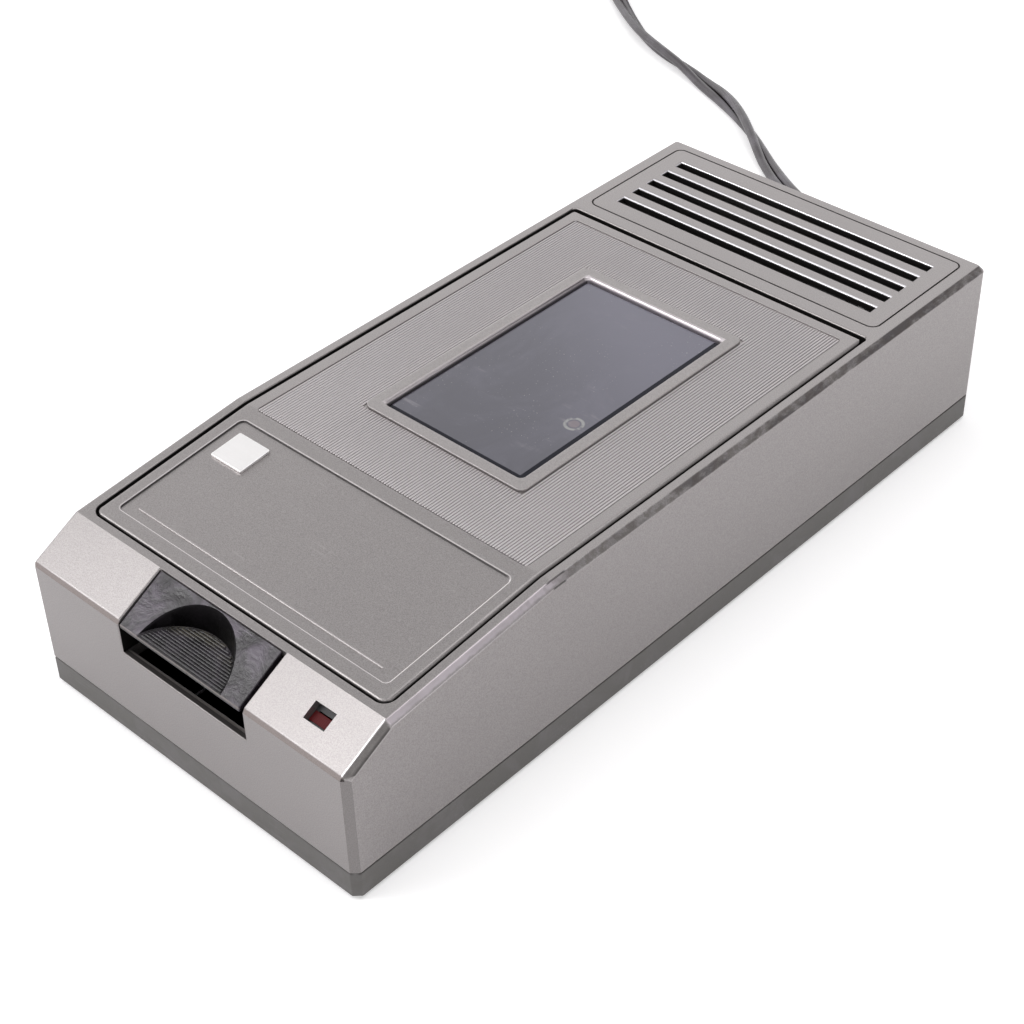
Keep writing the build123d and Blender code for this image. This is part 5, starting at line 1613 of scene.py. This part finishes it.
@dataclass
class Studio:
    """Pale floor, soft lamps and a plain white surround."""

    floor_size: float = 6.0
    ambient: float = 0.48
    horizon: float = 1.376
    sky: float = 0.32
    corner: float = 0.3
    paper: Colour = (0.90, 0.89, 0.90)
    paper_light: Colour = (0.93, 0.92, 0.925)
    lamps: list[Softbox] = field(
        default_factory=lambda: [
            Softbox("key_lamp", (-0.54, -0.64, 1.12), (0.7, 0.7), 4.9),
            Softbox("rim_lamp", (-0.80, -0.90, 0.80), (0.35, 0.35), 2.8),
            Softbox("overhead_lamp", (0.25, 0.3, 1.44), (1.1, 1.1), 6.0),
            Softbox("right_lamp", (1.3, -0.1, 0.4), (0.8, 0.8), 2.0),
        ]
    )

    def build(self) -> None:
        """Sets the view transform and makes the floor, the lamps and the world."""
        bpy.context.scene.view_settings.view_transform = "Standard"
        half = self.floor_size / 2
        corners = np.array([(-half, -half, 0), (half, -half, 0), (half, half, 0), (-half, half, 0)], float)
        floor = mesh_object("studio_floor", corners, [np.array([[0, 1, 2, 3]])], False)
        floor.data.materials.append(self._floor_material())
        for lamp in self.lamps:
            lamp.build()
        self._world()

    def _floor_material(self) -> bpy.types.Material:
        """White paper: it glows for camera rays, so that it clips to white, and a little in mirror images.

        Returns:
            The material.
        """
        g = Graph("studio_paper")
        seen, mirrored = g.ray("Camera"), g.ray("Glossy")
        wash = g.noise(6.0, 3.0)
        at = Spot(g)
        far = at.from_axis(0.0, 0.0).step(0.6, 1.8)
        glow = mirrored * (0.13 + (at.x + at.y).step(-0.1, 0.6) * 0.25)
        return g.finish(
            Base_Color=g.blend(wash.step(0.4, 0.7) * 0.5, self.paper, self.paper_light),
            Roughness=0.7,
            Specular_IOR_Level=0.2,
            Emission_Color=WHITE,
            Emission_Strength=seen * (0.4 + far * 0.8) + glow,
        )

    def _world(self) -> None:
        """White for camera and clear rays, an even fill for most others, and a sky for glossy ones.

        The sky is white at the horizon, dim overhead, and dimmer to the rear right.
        """
        world = bpy.data.worlds.new("studio")
        bpy.context.scene.world = world
        world.use_nodes = True
        g = Graph.of_tree(world.node_tree)
        x, y, z = g.split(g.node("ShaderNodeTexCoord", output="Generated"))
        glow = self.horizon - z.step(0.63, 0.74) * (self.horizon - self.sky)
        rear_right = (x * 0.8 + y * 0.4).step(0.25, 0.5) * z.step(0.1, 0.3)
        glow = glow * (1 - rear_right * (1 - self.corner))
        camera, clear, glossy = (g.ray(kind) for kind in ("Camera", "Transmission", "Glossy"))
        white = camera.math("MAXIMUM", clear)
        level = white + (1 - white) * (glossy * glow + (1 - glossy) * self.ambient)
        surround = g.node("ShaderNodeBackground", {}, {"Color": WHITE, "Strength": level})
        g.put(g.tree.nodes.new("ShaderNodeOutputWorld").inputs["Surface"], surround)


# ------------------------------------------------------------------ mains lead
@dataclass
class MainsLead:
    """Flat twin lead: out of the rear wall, over the floor, into a tied coil, and on to its plug.

    The twist's rows are a place along the lead in metres and the lead's turn there in degrees. The coil's
    rows are a number of turns, the radius there and the height there.
    """

    finishes: Finishes
    strand: float = 1.8 * MM
    offset: float = 1.72 * MM
    web: float = 0.42 * MM
    step: float = 2.4 * MM
    arc_steps: int = 15
    real_length: float = 1.8
    exit: Place = (-0.025, 0.166, 0.0102)
    coil_centre: tuple[float, float] = (-0.248, 0.362)
    coil_entry: float = -120.0
    coil_turns: float = 6 + 132 / 360
    points_per_turn: int = 14
    spline_share: float = 0.985
    spline_order: int = 3
    spline_steps: int = 8
    looseness: tuple[tuple[float, float, float], ...] = ((0.35 * MM, 5.1, 0.0), (0.2 * MM, 13.7, 1.0))
    twist_spread: float = 12.0 * MM
    twist_steps: int = 7
    sway: float = 9.0
    sway_pitch: float = 31.0
    sway_start: Span = (330.0 * MM, 100.0 * MM)
    sway_end: Span = (60.0 * MM, 50.0 * MM)
    coil: tuple[Place, ...] = (
        (0.0, 43.4, 2.0),
        (2.0, 29.2, 2.0),
        (2.22, 29.0, 5.8),
        (2.5, 29.4, 5.9),
        (4.5, 43.6, 5.9),
        (4.72, 43.0, 9.8),
        (5.2, 39.0, 9.9),
        (coil_turns, 36.5, 9.9),
    )
    route: tuple[Place, ...] = (
        (-0.0250, 0.1660, 0.0102),
        (-0.0250, 0.1800, 0.0102),
        (-0.0330, 0.1975, 0.0080),
        (-0.0540, 0.2085, 0.0036),
        (-0.0800, 0.2225, 0.0020),
        (-0.1180, 0.2515, 0.0020),
        (-0.1540, 0.2680, 0.0020),
        (-0.1890, 0.2770, 0.0020),
        (-0.2160, 0.2940, 0.0020),
        (-0.2430, 0.3150, 0.0020),
    )
    tail: tuple[Place, ...] = (
        (-0.2410, 0.4021, 0.0098),
        (-0.2211, 0.4035, 0.0078),
        (-0.2022, 0.4008, 0.0060),
    )
    twist: tuple[tuple[float, float], ...] = (
        (0.0, 180.0),
        (0.06, 182.0),
        (0.085, 195.0),
        (0.125, 105.0),
        (0.161, 15.0),
        (0.197, -68.0),
        (0.220, -50.0),
        (0.275, 0.0),
        (1.80, 0.0),
    )

    def coil_points(self) -> list[Place]:
        """The coil's turns: spiral in on the floor, out on top of that, and part of a third layer.

        Returns:
            Control points, by a loop over equal steps of angle.
        """
        knots, radii, levels = np.array(self.coil).T
        count = round(self.coil_turns * self.points_per_turn)
        points = []
        for index in range(count + 1):
            turn = self.coil_turns * index / count
            angle = math.radians(self.coil_entry - 360.0 * turn)
            loose = sum(size * math.sin(often * turn + start) for size, often, start in self.looseness)
            radius = float(np.interp(turn, knots, radii)) * MM / self.spline_share + loose
            x = self.coil_centre[0] + radius * math.cos(angle)
            y = self.coil_centre[1] + radius * math.sin(angle)
            points.append((x, y, float(np.interp(turn, knots, levels)) * MM + abs(loose)))
        return points

    def spline_line(self) -> np.ndarray:
        """The lead's centreline: points of one smooth NURBS spline, read from Blender.

        Returns:
            Points along it, (n, 3).
        """
        points = [*self.route, *self.coil_points(), *self.tail]
        data = bpy.data.curves.new("lead_route", "CURVE")
        data.dimensions, data.resolution_u = "3D", self.spline_steps
        spline = data.splines.new("NURBS")
        spline.points.add(len(points) - 1)
        spline.points.foreach_set("co", np.array([(*p, 1.0) for p in points], np.float32).ravel())
        spline.order_u = self.spline_order
        spline.use_endpoint_u = True
        holder = bpy.data.objects.new("lead_route", data)
        bpy.context.scene.collection.objects.link(holder)
        bpy.context.view_layer.update()
        graph = bpy.context.evaluated_depsgraph_get()
        line = vertex_places(bpy.data.meshes.new_from_object(holder.evaluated_get(graph)))
        bpy.data.objects.remove(holder)
        return line

    def section(self) -> tuple[np.ndarray, np.ndarray]:
        """Outline of two round strands joined by a web: an arc round each strand's middle, from web to web.

        Returns:
            Places across and up, round the outline.
        """
        reach = np.pi - np.arcsin(self.web / self.strand)
        angle = np.linspace(-reach, reach, self.arc_steps)
        across = self.strand * np.cos(angle) + self.offset
        high = self.strand * np.sin(angle)
        return np.concatenate([across, -across]), np.concatenate([high, -high])

    def turned(self, at: np.ndarray) -> np.ndarray:
        """How far the lead is turned about its own line: the twist's rows, smoothed, and a sway in the coil.

        Args:
            at: places along the lead.
        Returns:
            Angles in radians.
        """
        places, turns = np.array(self.twist).T
        shifts = np.linspace(-self.twist_spread, self.twist_spread, self.twist_steps)
        turn = sum(np.interp(at + shift, places, turns) for shift in shifts) / self.twist_steps
        coil = np.clip((at - self.sway_start[0]) / self.sway_start[1], 0, 1)
        coil = coil * np.clip((at[-1] - self.sway_end[0] - at) / self.sway_end[1], 0, 1)
        return np.radians(turn + coil * self.sway * np.sin(at * self.sway_pitch))

    def build(self) -> bpy.types.Object:
        """Carries the section along the line, turned by the twist, and settles it on the floor.

        Returns:
            The lead.
        """
        raw = self.spline_line()
        far = np.concatenate([[0], np.cumsum(np.linalg.norm(np.diff(raw, axis=0), axis=1))])
        at = np.linspace(0, far[-1], int(far[-1] / self.step))
        line = np.stack([np.interp(at, far, raw[:, k]) for k in range(3)], -1)
        turn = self.turned(at)
        ahead = np.gradient(line, axis=0)
        ahead /= np.linalg.norm(ahead, axis=1, keepdims=True)
        side = np.cross(ahead, (0.0, 0.0, 1.0))
        side /= np.linalg.norm(side, axis=1, keepdims=True)
        lift = np.cross(side, ahead)
        c, s = np.cos(turn)[:, None], np.sin(turn)[:, None]
        wide, thick = side * c + lift * s, lift * c - side * s
        line[:, 2] = np.maximum(line[:, 2], self.strand + self.offset * np.abs(np.sin(turn)))
        across, high = self.section()
        rings = line[:, None] + wide[:, None] * across[:, None] + thick[:, None] * high[:, None]
        made = closed_sleeve("mains_lead", rings)
        self._unwrap(made, len(across), at)
        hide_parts("mains_cord", "cord_coil", "cord_tail")
        settle(made, "case", self.finishes["cord_jacket"])
        self.line = line
        return made

    def _unwrap(self, made: bpy.types.Object, around: int, at: np.ndarray) -> None:
        """UV map: U round the section from 0 to 1, V in metres along the lead.

        Args:
            made: the lead.
            around: points in a ring.
            at: distance of each ring along the lead.
        """
        index = read_each(made.data.loops, "vertex_index", np.int32)
        uv = np.stack([(index % around) / around, at[index // around]], -1)
        layer = made.data.uv_layers.new(name=LEAD_UV)
        layer.data.foreach_set("uv", uv.astype(np.float32).ravel())


@dataclass
class StrainBoot:
    """Strain relief: a neck through the rear wall, a flange on both sides of it, and a grooved taper."""

    finishes: Finishes
    axis: Place = (-0.025, 0.0, 0.0102)
    flange: float = 6.6 * MM
    flange_thick: float = 1.6 * MM
    edge: float = 0.3 * MM
    neck: float = 4.6 * MM
    root: float = 5.4 * MM
    tip: float = 4.1 * MM
    pole: float = 0.001 * MM
    wall_inner: float = 137.6 * MM
    wall_outer: float = 140.0 * MM
    collar: float = 2.4 * MM
    tip_y: float = 166.0 * MM
    grooves: int = 5
    groove_depth: float = 0.75 * MM
    groove_from: float = 0.62
    plain_from: float = 0.97
    steps: int = 81
    sharp_angle: float = 35.0

    def build(self) -> bpy.types.Object:
        """A profile turned about the lead's axis.

        The taper's length is divided evenly, and each part's last stretch is a groove.

        Returns:
            The boot.
        """
        body = np.linspace(self.wall_outer + self.collar, self.tip_y, self.steps)
        taper = np.interp(body, [body[0], body[-1]], [self.root, self.tip])
        share = (body - body[0]) / (body[-1] - body[0])
        grooved = (np.mod(share * self.grooves, 1.0) > self.groove_from) & (share < self.plain_from)
        inside, outside = self.wall_inner - self.flange_thick, self.wall_outer + self.flange_thick
        rows = [
            (inside, self.pole),
            (inside, self.flange - self.edge),
            (inside + self.edge, self.flange),
            (self.wall_inner, self.flange),
            (self.wall_inner, self.neck),
            (self.wall_outer, self.neck),
            (self.wall_outer, self.flange),
            (outside - self.edge, self.flange),
            (outside, self.flange - self.edge),
            *zip(body, taper - np.where(grooved, self.groove_depth, 0.0)),
            (self.tip_y, self.pole),
        ]
        made = revolve("strain_boot", np.array(rows), self.axis)
        made.data.set_sharp_from_angle(angle=math.radians(self.sharp_angle))
        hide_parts("strain_relief")
        return settle(made, "case", self.finishes["rubber"])


@dataclass
class CoilTie:
    """Hook strap round the coil's bundle."""

    finishes: Finishes
    place: Place = (-0.212, 0.362, 0.0)
    inner: Place = (23.6 * MM, 8.0 * MM, 12.6 * MM)
    thickness: float = 1.1 * MM
    power: float = 0.42
    steps: int = 64
    sharp_angle: float = 40.0

    def build(self) -> bpy.types.Object:
        """A superellipse, cosine and sine raised to a power below one, carried round as a flat band.

        Returns:
            The strap.
        """
        wide, deep, high = self.inner
        angle = np.linspace(0, 2 * np.pi, self.steps, endpoint=False)
        c, s = np.cos(angle), np.sin(angle)
        x = np.sign(c) * np.abs(c) ** self.power * wide / 2
        z = np.sign(s) * np.abs(s) ** self.power * high / 2
        grow = 1 + 2 * self.thickness / np.array([wide, high])
        half = deep / 2
        corners = [(1.0, 1.0, -half), (*grow, -half), (*grow, half), (1.0, 1.0, half)]
        rings = np.stack([np.stack([x * gx, np.full_like(x, y), z * gz], -1) for gx, gz, y in corners], 1)
        rings = rings + np.array(self.place) + (0.0, 0.0, self.thickness + high / 2)
        around, count = rings.shape[:2]
        quads = sleeve_faces(around + 1, count) % (around * count)
        made = outward(mesh_object("coil_tie", rings.reshape(-1, 3), [quads]))
        made.data.set_sharp_from_angle(angle=math.radians(self.sharp_angle))
        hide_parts("cord_tie")
        return settle(made, "case", self.finishes["tie_plastic"])


@dataclass
class LeadFittings:
    """What goes with the mains lead: strain relief, tie, plug and blades."""

    finishes: Finishes
    plug_round: float = 0.4 * MM

    def build(self, lead: MainsLead, cable: bpy.types.Object) -> None:
        """Args:
            lead: the lead's sizes and line.
            cable: its piece; not used.
        """
        pieces = [StrainBoot(self.finishes).build(), CoilTie(self.finishes).build()]
        plug = soft_edged("plug_grip", "plug_body", [Zone(self.plug_round)])
        pieces.append(settle(plug, "case", self.finishes["plug_plastic"]))
        pieces.append(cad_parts["plug_blades"])
        2 * (lead.strand + lead.offset)


# ------------------------------------------------------------------ case, lid and button
@dataclass
class Case:
    """Upper housing and base tray, with small rounds on their edges."""

    finishes: Finishes
    right: float = 60.9 * MM
    seam: float = 10.5 * MM
    bevel_foot: float = 52.5 * MM
    top: float = 58.9 * MM
    opening: float = 59.2 * MM
    opening_front: float = -121.6 * MM
    notch: float = 25.3 * MM
    vent_half: float = 51.2 * MM
    vent_first: float = 97.45 * MM
    vent_pitch: float = 7.62 * MM
    vent_band: float = 0.4 * MM
    vent_count: int = 5
    tray_round: float = 0.3 * MM
    tray_side: float = 60.0 * MM
    tray_front: float = -137.0 * MM

    def corners(self) -> list[Zone]:
        """The case's long sides, its front wall's edges, and the top's rear edge.

        Returns:
            The zones.
        """
        return [
            Zone(width=0.25 * MM, x=(self.right, FAR), z=(self.seam, FAR)),
            Zone(width=0.25 * MM, y=(-FAR, -137.9 * MM), z=(self.seam, FAR)),
            Zone(width=0.6 * MM, y=(139.5 * MM, FAR), z=(58.8 * MM, FAR)),
        ]

    def vents(self) -> list[Zone]:
        """The slots' edges, with a wide round on the front edge of each slot's rear side.

        Returns:
            The zones.
        """
        across = (0.0, self.vent_half)
        starts = [self.vent_first + index * self.vent_pitch for index in range(self.vent_count)]
        slots = Zone(width=0.2 * MM, x=across, y=(93.0 * MM, 129.0 * MM), z=(self.top, FAR))
        return [
            slots,
            *(Zone(width=0.68 * MM, x=across, y=(y, y + self.vent_band), z=(self.top, FAR)) for y in starts),
        ]

    def openings(self) -> list[Zone]:
        """The lid opening's front, sides and rear, and the notch's sides, foot and rear.

        Returns:
            The zones.
        """
        above = (self.bevel_foot, FAR)
        return [
            Zone(width=0.3 * MM, x=(0.0, self.opening), y=(self.opening_front, -116.5 * MM), z=above),
            Zone(width=0.3 * MM, x=(58.5 * MM, self.opening), y=(self.opening_front, 81.0 * MM), z=above),
            Zone(width=0.4 * MM, x=(0.0, self.opening), y=(80.2 * MM, 82.3 * MM), z=(58.8 * MM, FAR)),
            Zone(width=0.35 * MM, x=(24.9 * MM, self.notch), y=(-FAR, -123.0 * MM), z=(33.3 * MM, FAR)),
            Zone(width=0.3 * MM, x=(0.0, self.notch), y=(-FAR, -139.5 * MM), z=(33.3 * MM, 33.7 * MM)),
            Zone(width=0.25 * MM, x=(0.0, 25.0 * MM), y=(-124.0 * MM, -123.0 * MM), z=above),
        ]

    def build(self) -> None:
        """Makes both shells."""
        zones = [*self.corners(), *self.vents(), *self.openings()]
        shell = soft_edged("housing_shell", "upper_housing", zones, reshape=VENT_GROOVE.tightened)
        settle(shell, "case", self.finishes["housing_paint"])
        sides = Zone(width=self.tray_round, x=(self.tray_side, FAR))
        front = Zone(width=self.tray_round, y=(-FAR, self.tray_front))
        tray = soft_edged("tray_shell", "base_tray", [sides, front])
        settle(tray, "case", self.finishes["tray_plastic"])


@dataclass
class Lid:
    """Lid panel, ribbed field, window pane and badge plate."""

    finishes: Finishes
    field_front: float = -63.7 * MM
    field_rear: float = 76.2 * MM
    pitch: float = 0.982 * MM
    count: int = 108
    rib_share: float = 0.94
    rib_height: float = 0.44 * MM
    rib_sink: float = 0.12 * MM
    rib_power: float = 0.8
    end_gap: float = 0.35 * MM
    bezel_half: float = 31.35 * MM
    bezel_front: float = -41.5 * MM
    bezel_rear: float = 56.5 * MM
    bezel_gap: float = 0.105 * MM
    rule_half: float = 48.65 * MM
    rule_y: float = -111.82 * MM
    rule_z: float = 53.72 * MM
    rule_size: Place = (0.62 * MM, 0.36 * MM, 0.15 * MM)
    pane_round: float = 0.3 * MM
    plate_round: float = 0.2 * MM

    def zones(self) -> list[Zone]:
        """Recess, ribbed field's edge, window frame's outer and inner edges, and the lid's front.

        Returns:
            The zones.
        """
        return [
            Zone(width=0.2 * MM, x=(0.0, 53.5 * MM), y=(-115.7 * MM, -68.5 * MM), z=(53.3 * MM, FAR)),
            Zone(width=0.15 * MM, x=(0.0, 53.5 * MM), y=(-64.0 * MM, 76.5 * MM), z=(58.9 * MM, 59.2 * MM)),
            Zone(width=0.25 * MM, x=(0.0, 31.6 * MM), y=(-41.8 * MM, 56.8 * MM), z=(59.4 * MM, FAR)),
            Zone(width=0.9 * MM, x=(0.0, 27.1 * MM), y=(-37.3 * MM, 52.3 * MM), z=(59.4 * MM, FAR)),
            Zone(width=0.5 * MM, x=(0.0, 57.95 * MM), y=(-120.4 * MM, -117.0 * MM), z=(53.0 * MM, FAR)),
        ]

    def ribs(self) -> bpy.types.Object:
        """Ribs side by side along Y; those that meet the window's frame are split in two.

        Returns:
            The ribs.
        """
        x = (np.arange(self.count) - (self.count - 1) / 2) * self.pitch
        split = np.abs(x) < self.bezel_half + 0.3 * MM
        low, high = self.field_front + self.end_gap, self.field_rear - self.end_gap

        def ends_at(y: float | np.ndarray) -> np.ndarray:
            """Points on the field's floor, one for each rib."""
            return np.stack([x, np.full_like(x, y), np.full_like(x, FIELD_FLOOR)], -1)

        first = ends_at(np.where(split, self.bezel_front - self.bezel_gap, high))
        second = ends_at(self.bezel_rear + self.bezel_gap)[split]
        starts = np.concatenate([ends_at(low), second])
        ends = np.concatenate([first, ends_at(high)[split]])
        width = self.pitch * self.rib_share
        return beads("lid_ribs", starts, ends, width, self.rib_height, self.rib_sink, self.rib_power)

    def rule(self) -> bpy.types.Object:
        """The thin raised rule across the front panel."""
        ends = np.array([[side * self.rule_half, self.rule_y, self.rule_z] for side in (-1, 1)])
        return beads("panel_rule", ends[:1], ends[1:], *self.rule_size)

    def build(self) -> None:
        """Makes the lid's pieces."""
        panel = soft_edged("lid_shell", "lid_panel", self.zones(), reshape=RECESS.tightened)
        settle(panel, "lid", self.finishes["lid_paint"])
        settle(self.ribs(), "lid", self.finishes["rib_paint"])
        settle(self.rule(), "lid", self.finishes["rule_paint"])
        pane = soft_edged("window_pane", "lid_window", [Zone(self.pane_round)])
        settle(pane, "lid", self.finishes["window_acrylic"])
        plate = soft_edged("plain_plate", "badge_plate", [Zone(self.plate_round)])
        settle(plate, "lid", self.finishes["badge_metal"])


@dataclass
class Button:
    """Rocking eject button and the ribs on the floor of its thumb scoop."""

    finishes: Finishes
    first: float = -138.45 * MM
    last: float = -126.6 * MM
    pitch: float = 0.975 * MM
    end_gap: float = 0.25 * MM
    rib_share: float = 0.94
    rib_height: float = 0.42 * MM
    rib_sink: float = 0.15 * MM
    edges: Zone = Zone(width=0.3 * MM, y=(-FAR, -122.0 * MM), z=(42.5 * MM, FAR))

    def ribs(self) -> bpy.types.Object:
        """Ribs along X whose ends follow the scoop's wall.

        A rib's half length is the root of the radius squared less its distance from the axis squared.

        Returns:
            The ribs.
        """
        y = np.arange(self.first, self.last, self.pitch)
        half = np.sqrt(SCOOP.radius**2 - (y - SCOOP.y) ** 2) - self.end_gap
        z = np.full(len(y), SCOOP.floor)
        starts = np.stack([SCOOP.x - half, y, z], -1)
        ends = np.stack([SCOOP.x + half, y, z], -1)
        return beads("thumb_ribs", starts, ends, self.pitch * self.rib_share, self.rib_height, self.rib_sink)

    def build(self) -> None:
        """Makes the button's pieces."""
        body = soft_edged("button_shell", "eject_button", [self.edges])
        settle(body, "button", self.finishes["button_plastic"])
        settle(self.ribs(), "button", self.finishes["button_plastic"])


@dataclass
class PilotLight:
    """Red lens behind its hole in the bevel."""

    finishes: Finishes
    round_off: float = 0.15 * MM
    grow: Place = (1.22, 1.2, 1.0)
    shift: Place = (-0.6 * MM, -0.25 * MM, -0.12 * MM)

    def stretch(self, points: np.ndarray) -> np.ndarray:
        """Grows the lens about its middle until it fills the hole's lower left."""
        middle = (points.min(0) + points.max(0)) / 2
        return (points - middle) * self.grow + middle + self.shift

    def build(self) -> None:
        """Makes the lens."""
        lens = soft_edged("pilot_window", "pilot_lens", [Zone(self.round_off)], reshape=self.stretch)
        settle(lens, "case", self.finishes["lens_red"])


@dataclass
class Mechanism:
    """Every CAD node that keeps its own shape, with the finish of its slot."""

    finishes: Finishes

    def build(self) -> None:
        """Gives each shown node the finish named by its own slot."""
        for name, node in sorted(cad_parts.items()):
            if node.hide_render:
                continue
            slot = node.data.materials[0].name.split(".")[0]
            node.data.materials.clear()
            node.data.materials.append(self.finishes[slot])
            LOG.info("%s keeps its shape, finish %s", name, slot)


def main() -> None:
    """Builds every sub-assembly in order."""
    logging.basicConfig(level=logging.INFO, format="%(message)s")
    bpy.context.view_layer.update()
    finishes = Finishes()
    Camera().build()
    lead = MainsLead(finishes)
    cable = lead.build()
    LeadFittings(finishes).build(lead, cable)
    Studio().build()
    Case(finishes).build()
    Lid(finishes).build()
    Button(finishes).build()
    PilotLight(finishes).build()
    Mechanism(finishes).build()


if __name__ == "__main__":
    main()
